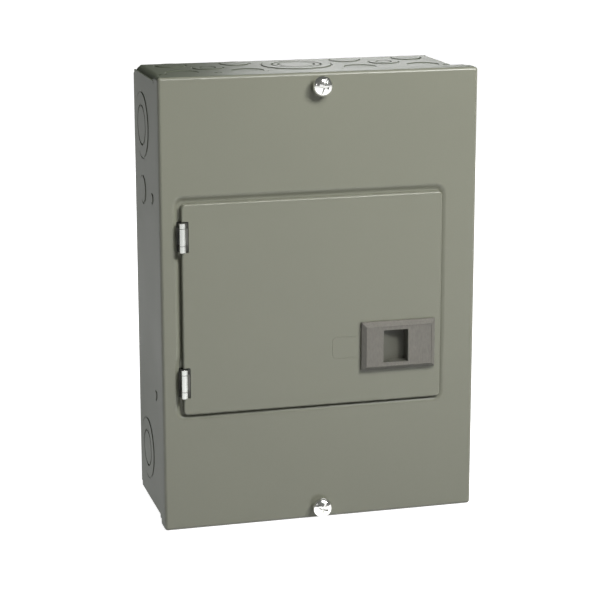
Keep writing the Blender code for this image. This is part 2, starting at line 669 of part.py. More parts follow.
def lug(name, x, low_y, z, finish):
    """A wire lug: a block with a bore for the wire and a set screw from the front."""
    half = 9.0 * MM
    depth = 20.4 * MM
    bm = bmesh.new()
    block(bm, (x - half, low_y - depth, z - 12.0 * MM), (x + half, low_y, z + 12.0 * MM))
    rounded(bm, bm.edges[:], 0.8 * MM, 2)
    obj = finished(name, bm, finish)
    bm = bmesh.new()
    bore = low_y - 8.5 * MM
    rod(bm, (x, bore, z - 0.02), (x, bore, z + 0.02), 5.5 * MM, 28)
    combine(obj, helper(name + "_bore", bm), "DIFFERENCE")
    bm = bmesh.new()
    rod(bm, (x, low_y - 0.03, z), (x, bore, z), 4.4 * MM, 24)
    combine(obj, helper(name + "_thread", bm), "DIFFERENCE")
    bm = bmesh.new()
    rod(bm, (x, low_y - depth - 4.0 * MM, z), (x, bore - 3.5 * MM, z), 4.0 * MM, 24)
    finished(name + "_screw", bm, "zinc", round_piece=True)


def bars():
    """The neutral bar on its standoffs, the ground bar, and the bond between neutral and enclosure."""
    bm = bmesh.new()
    block_mm(bm, *NEUTRAL_BAR)
    rounded(bm, bm.edges[:], 0.6 * MM, 1)
    finished("neutral_bar", bm, "aluminium")
    bm = bmesh.new()
    block_mm(bm, *GROUND_BAR)
    rounded(bm, bm.edges[:], 0.6 * MM, 1)
    finished("ground_bar", bm, "aluminium")
    for place, z in (("lower", -52.0), ("upper", 84.0)):
        bm = bmesh.new()
        block_mm(bm, -103.0, -89.5, -34.2, -1.5, z - 7.0, z + 7.0)
        rounded(bm, bm.edges[:], 1.0 * MM, 2)
        finished("neutral_standoff_" + place, bm, "white_plastic")
    lug("neutral_lug", NEUTRAL_X, -44.3 * MM, 86.0 * MM, "aluminium")
    path = [(-43.0 * MM, -71.0 * MM), (-2.1 * MM, -71.0 * MM), (-2.1 * MM, -90.0 * MM)]
    strap = bent_sheet("bonding_strap", path, "X", -100.0 * MM, -92.5 * MM, LEAF_SHEET, "brass")
    bm = bmesh.new()
    middle = Vector((NEUTRAL_X, 0.0, BOND_Z))
    rod(bm, middle + Vector((0, -0.008, 0)), middle + Vector((0, 0.0, 0)), 2.4 * MM, 16)
    combine(strap, helper("strap_hole", bm), "DIFFERENCE")
    seat = middle + Vector((0.0, -2.8 * MM, 0.0))
    machine_screw("bonding_screw", seat, 4.2 * MM, 3.4 * MM, 1.3 * MM, "green_screw", 6)


def breaker_mesh():
    """The case of one plug-on breaker of the right-hand column, about its row's height."""
    half = BREAKER_WIDTH / 2
    bm = bmesh.new()
    block(bm, (BREAKER_INNER, BREAKER_SHOULDER, -half), (BREAKER_OUTER, BREAKER_FOOT, half))
    body = finished("breaker_case", bm, "black_plastic")
    bm = bmesh.new()
    inset = half - 0.05 * MM
    block(bm, (NOSE_INNER, BREAKER_NOSE, -inset), (NOSE_OUTER, BREAKER_SHOULDER + 2 * MM, inset))
    combine(body, helper("breaker_nose", bm), "UNION")
    bm = bmesh.new()
    block(bm, (TERMINAL_STEP, -80.0 * MM, -half * 1.2), (82.0 * MM, TERMINAL_SEAT, half * 1.2))
    block_mm(bm, 2.0, 21.0, -40.0, -20.0, -2.5, 2.5)
    block_mm(bm, 75.5, 82.0, -32.5, -27.5, -15.0, 15.0)
    reach = 10.5 * MM
    block(bm, (HANDLE_X - reach, -0.09, -6.4 * MM), (HANDLE_X + reach, HANDLE_Y + 8.0 * MM, 6.4 * MM))
    combine(body, helper("breaker_cuts", bm), "DIFFERENCE")
    mesh = frozen_mesh(body)
    bpy.data.objects.remove(body, do_unlink=True)
    return mesh


def handle_mesh():
    """One breaker handle about its own axis: a drum with a paddle, upright."""
    bm = bmesh.new()
    half = HANDLE_HALF
    rod(bm, (0.0, 0.0, -half), (0.0, 0.0, half), HANDLE_DRUM, 28)
    drum = finished("handle_drum", bm, "black_plastic", round_piece=True)
    bm = bmesh.new()
    paddle = block(bm, (-4.2 * MM, -HANDLE_REACH, -half + 0.1 * MM), (4.2 * MM, 0.0, half - 0.1 * MM))
    tip = [vert for vert in paddle if vert.co.y < -0.01]
    bmesh.ops.scale(bm, vec=(0.62, 1.0, 0.94), verts=tip)
    rounded(bm, edges_where(bm, lambda point: point.y < -0.01), 0.8 * MM, 2)
    combine(drum, helper("handle_paddle", bm), "UNION")
    mesh = frozen_mesh(drum)
    bpy.data.objects.remove(drum, do_unlink=True)
    return mesh


def breakers():
    """Six breakers, numbered from the top, odd on the left, each with its handle on its own pivot."""
    case = breaker_mesh()
    toggle = handle_mesh()
    for row, z in enumerate(ROWS):
        for number, side in ((2 * row + 1, -1), (2 * row + 2, 1)):
            turn = 0.0
            if side < 0:
                turn = math.pi
            body = bpy.data.objects.new(f"breaker_{number}", case)
            body.location = (0.0, 0.0, z)
            body.rotation_euler = (0.0, turn, 0.0)
            PARTS.objects.link(body)
            handle = bpy.data.objects.new(f"breaker_handle_{number}", toggle)
            handle.location = (side * HANDLE_X, HANDLE_Y, z)
            handle.rotation_euler = (0.0, 0.0, -side * HANDLE_TILT)
            PARTS.objects.link(handle)
            bm = bmesh.new()
            seat = Vector((side * TERMINAL_X, TERMINAL_SEAT - CLEAR, z))
            rod(bm, seat - Vector((0.0, 3.0 * MM, 0.0)), seat, 4.2 * MM, 20)
            finished(f"terminal_screw_{number}", bm, "zinc", round_piece=True)


def build():
    """Makes every part and hangs the moving ones from their joints."""
    enclosure()
    cover()
    cover_screw("cover_screw_upper", COVER_SCREW_Z)
    cover_screw("cover_screw_lower", -COVER_SCREW_Z)
    dead_front()
    swing = joint_empty("door_axis", AXIS)
    leaf = door()
    leaves = [hinge(place, bottom) for place, bottom in HINGE_BOTTOMS.items()]
    parent_to(swing, leaf, *leaves, *latch())
    interior()
    x, seat, z = LINE_LUG
    lug("line_lug_a", -x, seat, z, "aluminium")
    lug("line_lug_b", x, seat, z, "aluminium")
    bars()
    breakers()


build()
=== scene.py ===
# %% [markdown]
# This lesson dresses a residential load center: the small steel panel that holds a home's breakers. The
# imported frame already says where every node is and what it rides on. We only add looks, so the first step
# loads that frame and remembers its box, because nothing we make may grow past it.

# %% Load the frame
import json
import math

import bmesh
import bpy
from mathutils import Matrix, Vector

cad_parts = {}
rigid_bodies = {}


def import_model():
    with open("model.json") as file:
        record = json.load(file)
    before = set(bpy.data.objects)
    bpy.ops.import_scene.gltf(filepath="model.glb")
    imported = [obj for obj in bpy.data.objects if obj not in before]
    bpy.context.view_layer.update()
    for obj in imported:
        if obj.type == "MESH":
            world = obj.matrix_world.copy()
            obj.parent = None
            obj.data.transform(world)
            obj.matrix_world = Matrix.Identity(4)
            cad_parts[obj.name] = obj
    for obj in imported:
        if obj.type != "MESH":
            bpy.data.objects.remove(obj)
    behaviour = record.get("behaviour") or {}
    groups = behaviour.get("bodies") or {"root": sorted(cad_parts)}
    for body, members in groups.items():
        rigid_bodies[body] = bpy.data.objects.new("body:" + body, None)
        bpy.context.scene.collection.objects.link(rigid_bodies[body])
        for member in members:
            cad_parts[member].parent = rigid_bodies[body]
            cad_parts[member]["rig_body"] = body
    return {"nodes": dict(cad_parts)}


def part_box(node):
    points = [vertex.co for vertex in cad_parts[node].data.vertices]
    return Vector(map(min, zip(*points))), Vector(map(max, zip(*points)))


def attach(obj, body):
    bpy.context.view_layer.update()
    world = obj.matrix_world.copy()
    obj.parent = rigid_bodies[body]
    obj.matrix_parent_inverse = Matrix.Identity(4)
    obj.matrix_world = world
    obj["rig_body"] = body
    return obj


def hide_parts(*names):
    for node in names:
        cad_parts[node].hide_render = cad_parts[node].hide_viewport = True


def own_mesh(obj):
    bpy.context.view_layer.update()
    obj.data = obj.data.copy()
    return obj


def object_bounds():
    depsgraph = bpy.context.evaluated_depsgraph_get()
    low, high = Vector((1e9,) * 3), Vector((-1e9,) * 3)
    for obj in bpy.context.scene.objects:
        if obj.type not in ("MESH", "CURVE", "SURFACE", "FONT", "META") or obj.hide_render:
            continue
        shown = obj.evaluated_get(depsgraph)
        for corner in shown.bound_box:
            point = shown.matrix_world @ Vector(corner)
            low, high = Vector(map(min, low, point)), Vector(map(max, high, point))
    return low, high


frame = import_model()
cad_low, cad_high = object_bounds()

mm = 0.001

# %% [markdown]
# The camera comes first, so that each later step can be judged from the right place. It stands a little to
# the left of the panel and a little above it, far away with a long lens, which keeps the upright edges
# nearly parallel.

# %% Camera
camera_data = bpy.data.cameras.new("camera")
camera_data.lens = 121.35
camera_data.sensor_width = 36.0
camera = bpy.data.objects.new("camera", camera_data)
bpy.context.scene.collection.objects.link(camera)
camera_forward = Vector((0.25325, 0.93846, -0.23485)).normalized()
camera_right = camera_forward.cross(Vector((0.0626, 0.2263, 0.9720))).normalized()
camera_up = camera_right.cross(camera_forward)
camera_turn = Matrix((camera_right, camera_up, -camera_forward)).transposed().to_4x4()
camera.matrix_world = Matrix.Translation((-0.3737, -1.4244, 0.3339)) @ camera_turn
bpy.context.scene.camera = camera
print("camera stands", round(camera.location.length, 3), "m away")

# %% [markdown]
# Every piece here starts as a bmesh, becomes an object at the origin, and is then bent, thickened or
# carved. These small helpers are the whole workbench: a block, a rod, a folded strip of sheet, a ring, and
# the two modifiers we apply at once, Solidify for the thickness of sheet metal and Boolean for holes.

# %% Workbench
def block(bm, low, high):
    """A box between two corners."""
    low, high = Vector(low), Vector(high)
    place = Matrix.Translation((low + high) / 2) @ Matrix.Diagonal((*(high - low), 1.0))
    return bmesh.ops.create_cube(bm, size=1.0, matrix=place)["verts"]


def along(direction):
    """The turn that takes +Z to a direction."""
    return Vector(direction).to_track_quat("Z", "Y").to_matrix().to_4x4()


def rod(bm, start, end, radius, end_radius=None, sides=48):
    """A round bar, or a cone where the second radius differs."""
    start, end = Vector(start), Vector(end)
    place = Matrix.Translation((start + end) / 2) @ along(end - start)
    if end_radius is None:
        end_radius = radius
    made = bmesh.ops.create_cone(
        bm, cap_ends=True, segments=sides, radius1=radius, radius2=end_radius,
        depth=(end - start).length, matrix=place,
    )
    return made["verts"]


def round_edges(bm, edges, radius, segments=3):
    """Rounds edges off, or cuts one flat chamfer with one segment."""
    bmesh.ops.bevel(
        bm, geom=list(edges), affect="EDGES", offset=radius, segments=segments, profile=0.5, material=-1,
        clamp_overlap=True,
    )


def edges_on(bm, test):
    """The edges whose two ends both pass a test."""
    return [edge for edge in bm.edges if all(test(vert.co) for vert in edge.verts)]


def crease_edges(verts, axis):
    """Among a box's edges, those that run along an axis."""
    edges = {edge for vert in verts for edge in vert.link_edges}
    return [edge for edge in edges if abs((edge.verts[0].co - edge.verts[1].co)[axis]) > 1e-5]


def spun(bm, outline, steps):
    """Turns an outline once round Z and closes it."""
    bmesh.ops.spin(
        bm, geom=outline, cent=(0, 0, 0), axis=(0, 0, 1), angle=math.tau, steps=steps, use_merge=True
    )
    bmesh.ops.remove_doubles(bm, verts=bm.verts, dist=1e-7)
    bmesh.ops.recalc_face_normals(bm, faces=bm.faces)


def turned(bm, profile, steps=48):
    """A profile of (radius, height) points turned once round Z."""
    verts = [bm.verts.new((radius, 0.0, height)) for radius, height in profile]
    edges = [bm.edges.new(pair) for pair in zip(verts, verts[1:])]
    spun(bm, verts + edges, steps)


def pour(source, target):
    """Adds one bmesh to another and frees it."""
    mesh = bpy.data.meshes.new("poured")
    source.to_mesh(mesh)
    source.free()
    target.from_mesh(mesh)
    bpy.data.meshes.remove(mesh)


def ring(bm, centre, direction, radius, thick, lift, steps=72):
    """A ring of round section. Lifted by a part of its thickness, it cuts a shallow round-bottomed groove."""
    made = bmesh.new()
    place = Matrix.Translation((radius, 0.0, lift)) @ Matrix.Rotation(math.radians(90), 4, "X")
    verts = bmesh.ops.create_circle(made, cap_ends=False, segments=14, radius=thick, matrix=place)["verts"]
    edges = list({edge for vert in verts for edge in vert.link_edges})
    spun(made, verts + edges, steps)
    made.transform(Matrix.Translation(centre) @ along(direction))
    pour(made, bm)


def folded(bm, points, axis, low, high, radius, segments=6):
    """Sheet metal folded along a few points and drawn out along an axis. The folds are rounded."""
    order = {"X": (2, 0, 1), "Y": (0, 2, 1), "Z": (0, 1, 2)}[axis]
    verts = []
    for first, second in points:
        point = (first, second, low)
        verts.append(bm.verts.new([point[index] for index in order]))
    edges = [bm.edges.new(pair) for pair in zip(verts, verts[1:])]
    made = bmesh.ops.extrude_edge_only(bm, edges=edges)["geom"]
    reach = (0.0, 0.0, high - low)
    moved = [item for item in made if isinstance(item, bmesh.types.BMVert)]
    bmesh.ops.translate(bm, vec=[reach[index] for index in order], verts=moved)
    folds = [edge for edge in bm.edges if len(edge.link_faces) == 2]
    round_edges(bm, folds, radius, segments)


def as_object(name, bm):
    """Turns a bmesh into an object at the origin."""
    mesh = bpy.data.meshes.new(name)
    bm.to_mesh(mesh)
    bm.free()
    obj = bpy.data.objects.new(name, mesh)
    bpy.context.scene.collection.objects.link(obj)
    return obj


def settle(obj):
    """Applies the object's modifiers to its mesh."""
    graph = bpy.context.evaluated_depsgraph_get()
    mesh = bpy.data.meshes.new_from_object(obj.evaluated_get(graph))
    old = obj.data
    obj.modifiers.clear()
    obj.data = mesh
    bpy.data.meshes.remove(old)


def thicken(obj, thickness, offset=-1.0):
    """Gives a surface the thickness of its sheet, inwards unless the offset says otherwise."""
    sheet = obj.modifiers.new("sheet", "SOLIDIFY")
    sheet.thickness = thickness
    sheet.offset = offset
    sheet.use_even_offset = True
    settle(obj)


def carve(obj, bm, operation="DIFFERENCE"):
    """Takes the bmesh's solids away from the object, or adds them with UNION."""
    tool = as_object("tool", bm)
    step = obj.modifiers.new("carve", "BOOLEAN")
    step.operation = operation
    step.solver = "EXACT"
    step.object = tool
    settle(obj)
    mesh = tool.data
    bpy.data.objects.remove(tool)
    bpy.data.meshes.remove(mesh)


def soften(obj, width, segments=2, angle=35.0):
    """A small round on every sharp edge."""
    step = obj.modifiers.new("soften", "BEVEL")
    step.width = width
    step.segments = segments
    step.limit_method = "ANGLE"
    step.angle_limit = math.radians(angle)
    settle(obj)


def hand_over(obj, finish, body, slot, *nodes, angle=32.0, flat=True):
    """Shades a finished piece, gives it its finish, says what it rides on, and hides the nodes it stands for.
    """
    mesh = obj.data
    mesh.materials.clear()
    mesh.materials.append(finish)
    mesh.polygons.foreach_set("material_index", [0] * len(mesh.polygons))
    mesh.shade_smooth()
    mesh.set_sharp_from_angle(angle=math.radians(angle))
    if flat:
        even = obj.modifiers.new("even", "WEIGHTED_NORMAL")
        even.keep_sharp = True
        even.weight = 80
    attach(obj, body)
    if nodes:
        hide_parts(*nodes)
    print(obj.name, len(mesh.polygons), "faces")


# %% [markdown]
# Finishes. Real paint, plating and moulded plastic are never one flat colour, so each finish starts from
# the same recipe: a slow cloud that shifts the colour a little, a fine grain that breaks up the gloss, and
# a bump whose size fits the process. Enamel has orange peel about a millimetre across. Moulded parts carry
# a sandy spark texture. Rolled metal has grain along one direction, which a Mapping node makes by
# stretching the pattern.

# %% The common recipe for a finish
def surface(name, colour, rough, metallic=0.0, cloud=30.0, spread=0.06, grain=900.0, stretch=(1, 1, 1),
            bump=0.02 * mm, gloss_spread=0.05, speckle=0.0):
    """One finish: cloud, grain and speckle are sizes and amounts, bump is a real height."""
    made = bpy.data.materials.new(name)
    made.use_nodes = True
    nodes = made.node_tree.nodes
    link = made.node_tree.links.new
    shader = nodes["Principled BSDF"]
    shader.inputs["Metallic"].default_value = metallic
    place = nodes.new("ShaderNodeTexCoord").outputs["Object"]
    mapping = nodes.new("ShaderNodeMapping")
    mapping.inputs["Scale"].default_value = stretch
    link(place, mapping.inputs["Vector"])
    slow = nodes.new("ShaderNodeTexNoise")
    slow.inputs["Scale"].default_value = cloud
    slow.inputs["Detail"].default_value = 4.0
    link(place, slow.inputs["Vector"])
    fine = nodes.new("ShaderNodeTexNoise")
    fine.inputs["Scale"].default_value = grain
    fine.inputs["Detail"].default_value = 2.0
    link(mapping.outputs["Vector"], fine.inputs["Vector"])
    tint = nodes.new("ShaderNodeMix")
    tint.data_type = "RGBA"
    tint.inputs[6].default_value = (*[max(0.0, part * (1 - spread)) for part in colour], 1.0)
    tint.inputs[7].default_value = (*[min(1.0, part * (1 + spread)) for part in colour], 1.0)
    link(slow.outputs["Fac"], tint.inputs[0])
    last = tint.outputs[2]
    if speckle:
        dust = nodes.new("ShaderNodeMix")
        dust.data_type = "RGBA"
        dust.blend_type = "OVERLAY"
        dust.inputs[0].default_value = speckle
        link(last, dust.inputs[6])
        grey = nodes.new("ShaderNodeRGBToBW")
        link(fine.outputs["Color"], grey.inputs[0])
        link(grey.outputs[0], dust.inputs[7])
        last = dust.outputs[2]
    link(last, shader.inputs["Base Color"])
    gloss = nodes.new("ShaderNodeMapRange")
    gloss.inputs["To Min"].default_value = max(0.02, rough - gloss_spread)
    gloss.inputs["To Max"].default_value = min(1.0, rough + gloss_spread)
    link(slow.outputs["Fac"], gloss.inputs["Value"])
    link(gloss.outputs[0], shader.inputs["Roughness"])
    relief = nodes.new("ShaderNodeBump")
    relief.inputs["Strength"].default_value = 1.0
    relief.inputs["Distance"].default_value = bump
    link(fine.outputs["Fac"], relief.inputs["Height"])
    link(relief.outputs[0], shader.inputs["Normal"])
    return made


# %% [markdown]
# Hot-dip galvanising freezes into crystals a few millimetres across, each a slightly different grey. A
# Voronoi pattern gives one value to each crystal, and that value sets both its colour and its gloss.

# %% Galvanised sheet
def spangled(name, colour, rough, crystals=140.0):
    """A galvanised finish with its crystals."""
    made = surface(name, colour, rough, metallic=1.0, cloud=60.0, spread=0.05, bump=0.01 * mm)
    nodes = made.node_tree.nodes
    link = made.node_tree.links.new
    shader = nodes["Principled BSDF"]
    place = nodes.new("ShaderNodeTexCoord").outputs["Object"]
    cells = nodes.new("ShaderNodeTexVoronoi")
    cells.inputs["Scale"].default_value = crystals
    link(place, cells.inputs["Vector"])
    value = nodes.new("ShaderNodeRGBToBW")
    link(cells.outputs["Color"], value.inputs[0])
    tint = nodes.new("ShaderNodeMix")
    tint.data_type = "RGBA"
    tint.inputs[6].default_value = (*[part * 0.78 for part in colour], 1.0)
    tint.inputs[7].default_value = (*[min(1.0, part * 1.15) for part in colour], 1.0)
    link(value.outputs[0], tint.inputs[0])
    link(tint.outputs[2], shader.inputs["Base Color"])
    gloss = nodes.new("ShaderNodeMapRange")
    gloss.inputs["To Min"].default_value = rough - 0.12
    gloss.inputs["To Max"].default_value = rough + 0.12
    link(value.outputs[0], gloss.inputs["Value"])
    link(gloss.outputs[0], shader.inputs["Roughness"])
    return made


# %% [markdown]
# The hinge plating is painted darker with depth, as painted shade down in the slot behind the barrel, where
# it is also rougher. A ramp along the depth blends the two.

# %% Painted shade on the hinge plating
def dulled(made, start, end):
    """Paints shade into a finish with depth: darker and rougher from one Y to another."""
    nodes = made.node_tree.nodes
    link = made.node_tree.links.new
    shader = nodes["Principled BSDF"]
    parts = nodes.new("ShaderNodeSeparateXYZ")
    link(nodes.new("ShaderNodeTexCoord").outputs["Object"], parts.inputs[0])
    depth = nodes.new("ShaderNodeMapRange")
    depth.inputs["From Min"].default_value = start
    depth.inputs["From Max"].default_value = end
    link(parts.outputs["Y"], depth.inputs["Value"])
    tint = nodes.new("ShaderNodeMix")
    tint.data_type = "RGBA"
    # Painted shade: the dark colour at the deep end of the ramp.
    tint.inputs[7].default_value = (0.12, 0.12, 0.11, 1.0)
    link(depth.outputs[0], tint.inputs[0])
    link(shader.inputs["Base Color"].links[0].from_socket, tint.inputs[6])
    link(tint.outputs[2], shader.inputs["Base Color"])
    gloss = nodes.new("ShaderNodeMix")
    gloss.inputs[3].default_value = 0.6
    link(depth.outputs[0], gloss.inputs[0])
    link(shader.inputs["Roughness"].links[0].from_socket, gloss.inputs[2])
    link(gloss.outputs[0], shader.inputs["Roughness"])
    return made


# %% [markdown]
# Now the finishes themselves. The box's walls get their own enamel, darker than the cover's as painted shade,
# and duller. The floor and the backdrop glow a little, which gives a clean white surround.

# %% The finishes of this panel
ENAMEL = surface("grey_enamel", (0.205, 0.209, 0.162), 0.31, cloud=14.0, spread=0.035, grain=1100.0,
                 bump=0.012 * mm, gloss_spread=0.04, speckle=0.05)
# Painted shade: this is the cover's grey darkened, so the box's walls and the cover's rim sides look shaded.
# It is also duller.
ENAMEL_BOX_SHADED = surface("grey_enamel_painted_shade", (0.098, 0.111, 0.078), 0.42, cloud=16.0, spread=0.05, grain=1100.0,
                     bump=0.014 * mm, gloss_spread=0.05, speckle=0.06)
ENAMEL_BOX_SHADED.node_tree.nodes["Principled BSDF"].inputs["Specular IOR Level"].default_value = 0.14
ZINC = surface("bright_zinc", (0.80, 0.80, 0.78), 0.20, metallic=1.0, cloud=180.0, spread=0.06, grain=2200.0,
               bump=0.004 * mm, gloss_spread=0.06)
# The hinge plating, with painted shade darkening it towards the slot.
HINGE_ZINC_SHADED = dulled(
    surface("hinge_zinc_shaded", (0.46, 0.47, 0.45), 0.20, metallic=1.0, cloud=180.0, spread=0.06, grain=2200.0,
            stretch=(1.0, 1.0, 0.1), bump=0.004 * mm, gloss_spread=0.06), -99.2 * mm, -98.0 * mm)
DULL_ZINC = surface("screw_zinc", (0.66, 0.66, 0.64), 0.30, metallic=1.0, cloud=260.0, spread=0.10,
                    grain=2600.0, bump=0.006 * mm, gloss_spread=0.08)
LATCH = surface("latch_plastic", (0.150, 0.142, 0.123), 0.33, cloud=70.0, spread=0.08, grain=900.0,
                stretch=(1.0, 1.0, 0.3), bump=0.10 * mm, gloss_spread=0.06, speckle=0.35)
# The bolt's plastic is darker than the bezel's: partly its own tone, partly painted shade for the deep scoop.
LATCH_SCOOP_SHADED = surface("scoop_plastic_shaded", (0.085, 0.085, 0.068), 0.45, cloud=70.0, spread=0.05, grain=1700.0,
                      bump=0.015 * mm, gloss_spread=0.04, speckle=0.05)
BREAKER = surface("breaker_thermoset", (0.020, 0.020, 0.022), 0.42, cloud=90.0, spread=0.25, grain=2200.0,
                  bump=0.02 * mm, gloss_spread=0.06)
HANDLE = surface("handle_thermoset", (0.028, 0.028, 0.030), 0.34, cloud=120.0, spread=0.20, grain=2600.0,
                 bump=0.008 * mm, gloss_spread=0.05)
BASE = surface("base_thermoset", (0.055, 0.045, 0.040), 0.55, cloud=70.0, spread=0.22, grain=1600.0,
               bump=0.03 * mm, gloss_spread=0.05)
STANDOFF = surface("standoff_nylon", (0.66, 0.66, 0.61), 0.45, cloud=60.0, spread=0.05, grain=1400.0,
                   bump=0.012 * mm)
ALUMINIUM = surface("tin_plated_aluminium", (0.74, 0.75, 0.76), 0.32, metallic=1.0, cloud=80.0, spread=0.06,
                    grain=1300.0, stretch=(1.0, 1.0, 0.06), bump=0.008 * mm, gloss_spread=0.07)
BRASS = surface("rolled_brass", (0.66, 0.47, 0.21), 0.30, metallic=1.0, cloud=70.0, spread=0.12, grain=1400.0,
                stretch=(1.0, 0.06, 0.06), bump=0.008 * mm, gloss_spread=0.07)
GREEN = surface("green_dyed_plating", (0.03, 0.23, 0.07), 0.32, metallic=0.6, cloud=300.0, spread=0.15,
                grain=2600.0, bump=0.006 * mm)
SPRING = surface("spring_steel", (0.50, 0.50, 0.51), 0.28, metallic=1.0, cloud=400.0, spread=0.12,
                 grain=3000.0, bump=0.004 * mm)
GALVANISED = spangled("galvanised_sheet", (0.50, 0.51, 0.52), 0.40)
INK = surface("white_ink", (0.78, 0.78, 0.75), 0.55, cloud=400.0, spread=0.06, grain=2600.0, bump=0.004 * mm)
FLOOR = surface("pale_floor", (0.85, 0.85, 0.85), 0.9, cloud=1.5, spread=0.01, grain=60.0, bump=0.01 * mm)
BACKDROP = surface("bright_backdrop", (0.9, 0.9, 0.9), 0.9, cloud=1.5, spread=0.01, grain=60.0,
                   bump=0.01 * mm)
for finish in (FLOOR, BACKDROP):
    shader = finish.node_tree.nodes["Principled BSDF"]
    shader.inputs["Emission Color"].default_value = (1.0, 1.0, 1.0, 1.0)
    shader.inputs["Emission Strength"].default_value = 0.95
print("finishes made")

# %% [markdown]
# The front cover is one pressed sheet. Its rim is bent back all round, and a shallow recess is pressed
# round the door, so that the door's edge is guarded. We bevel a box for the rim, then set the recess into
# its face: an outline with rounded corners, inset again and again while it sinks along half a cosine, which
# is the soft slope that a press tool leaves. Near the hinges the outline steps outwards to clear the
# barrels.

# %% Front cover
SHEET = 1.0 * mm
COVER_BEND = 2.4 * mm
RECESS_DEPTH = 1.8 * mm
RECESS_SLOPE = 5.4 * mm
HINGE_X, HINGE_Y = -99.1 * mm, -99.4 * mm
hinge_spans = {place: [corner.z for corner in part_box("hinge_pin_" + place)] for place in ("upper", "lower")}
cover_low, cover_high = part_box("cover")
door_low, door_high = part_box("door")
opening_low = Vector((-88.0, 0.0, -66.0)) * mm
opening_high = Vector((80.0, 0.0, 66.0)) * mm


def open_box(bm, low, high):
    """A box with no back."""
    block(bm, low, high)
    back = [face for face in bm.faces if face.normal.y > 0.9]
    bmesh.ops.delete(bm, geom=back, context="FACES_ONLY")


def recess_outline(bm, face_y):
    """The recess's rounded outline on the cover's face, as one face."""
    left, right = door_low.x - 6.4 * mm, door_high.x + 3.8 * mm
    bottom, top = door_low.z - 4.4 * mm, door_high.z + 6.3 * mm
    jog, step = 1.3 * mm, 37.0 * mm
    points = [(left, bottom), (right, bottom), (right, top), (left, top)]
    points += [(left, step), (left + jog, step - 3 * mm), (left + jog, 3 * mm - step), (left, -step)]
    verts = [bm.verts.new((x, face_y, z)) for x, z in points]
    face = bm.faces.new(verts)
    for group, radius, steps in ((verts[:4], 8.0 * mm, 7), (verts[4:], 1.2 * mm, 2)):
        bmesh.ops.bevel(
            bm, geom=group, affect="VERTICES", offset=radius, segments=steps, profile=0.5, material=-1
        )
    return max(bm.faces, key=lambda item: len(item.verts) if abs(item.normal.y) > 0.9 else 0)


bm = bmesh.new()
open_box(bm, cover_low, cover_high)
near_edge = lambda point: point.y < cover_low.y + 1e-6
uprights = [edge for edge in bm.edges if abs((edge.verts[0].co - edge.verts[1].co).y) > 1e-4]
round_edges(bm, uprights + edges_on(bm, near_edge), COVER_BEND, 6)
front = max((face for face in bm.faces if face.normal.y < -0.99), key=lambda face: face.calc_area())
rim = list(front.edges)
bmesh.ops.delete(bm, geom=[front], context="FACES_ONLY")
pressed = recess_outline(bm, cover_low.y)
bmesh.ops.triangle_fill(bm, use_beauty=True, edges=rim + list(pressed.edges))
bmesh.ops.recalc_face_normals(bm, faces=bm.faces)
if pressed.normal.y > 0:
    bmesh.ops.reverse_faces(bm, faces=bm.faces)
PRESS_STEPS = 10
sunk = 0.0
for step in range(1, PRESS_STEPS + 1):
    level = RECESS_DEPTH * (1 - math.cos(math.pi * step / PRESS_STEPS)) / 2
    bmesh.ops.inset_individual(
        bm, faces=[pressed], thickness=RECESS_SLOPE / PRESS_STEPS, depth=sunk - level, use_even_offset=True
    )
    sunk = level
cover = as_object("cover_shell", bm)
thicken(cover, SHEET)
print("recess sinks", round(sunk / mm, 2), "mm")

# %% [markdown]
# Now the holes. The breaker opening has rounded corners, each hinge has a slot for its barrel, the two
# cover screws pass through round holes, and the rim is slit and trimmed at its four corners, as a folded
# rim has to be. The rim's side faces take the box's darker enamel, as painted shade.

# %% Holes in the cover
CORNERS = [(x_side, z_side) for x_side in (-1, 1) for z_side in (-1, 1)]
bm = bmesh.new()
cut = block(bm, (opening_low.x, -0.11, opening_low.z), (opening_high.x, -0.085, opening_high.z))
round_edges(bm, crease_edges(cut, 1), 3.0 * mm, 5)
for low_z, high_z in hinge_spans.values():
    slot_low = (HINGE_X - 3.1 * mm, -0.11, low_z - 0.5 * mm)
    slot_high = (HINGE_X + 4.3 * mm, -0.085, high_z + 0.5 * mm)
    round_edges(bm, crease_edges(block(bm, slot_low, slot_high), 1), 0.8 * mm, 3)
carve(cover, bm)
bm = bmesh.new()
for name in ("cover_screw_upper", "cover_screw_lower"):
    low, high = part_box(name)
    middle = (low + high) / 2
    rod(bm, (middle.x, -0.10, middle.z), (middle.x, -0.09, middle.z), 2.6 * mm)
carve(cover, bm)
trims, slits = bmesh.new(), bmesh.new()
for x_side, z_side in CORNERS:
    corner = Matrix.Translation((x_side * cover_high.x, cover_high.y, z_side * cover_high.z))
    outward = Matrix.Rotation(math.radians(-45 * x_side * z_side), 4, "Y")
    place = corner @ outward @ Matrix.Diagonal((7.4 * mm, 7.4 * mm, 7.4 * mm, 1.0))
    bmesh.ops.create_cube(trims, size=1.0, matrix=place)
    place = corner @ outward @ Matrix.Diagonal((12 * mm, 20 * mm, 0.45 * mm, 1.0))
    bmesh.ops.create_cube(slits, size=1.0, matrix=place)
carve(cover, trims)
carve(cover, slits)
soften(cover, 0.18 * mm, 2, 50.0)
hand_over(cover, ENAMEL, "enclosure", "grey_enamel", "cover")
# Painted shade: the rim's sideways faces get the darker enamel, so they look shaded like the box's walls.
cover.data.materials.append(ENAMEL_BOX_SHADED)
rim_x, rim_z = cover_high.x - 2 * mm, cover_high.z - 2 * mm
for face in cover.data.polygons:
    outermost = abs(face.center.x) > rim_x or abs(face.center.z) > rim_z
    if outermost and abs(face.normal.y) < 0.3:
        face.material_index = 1

# %% [markdown]
# The door is a second, smaller pan. Its corners are rounded more than its rim, so the corner edges are
# bevelled first. Notches clear the two hinges, and a window takes the latch.

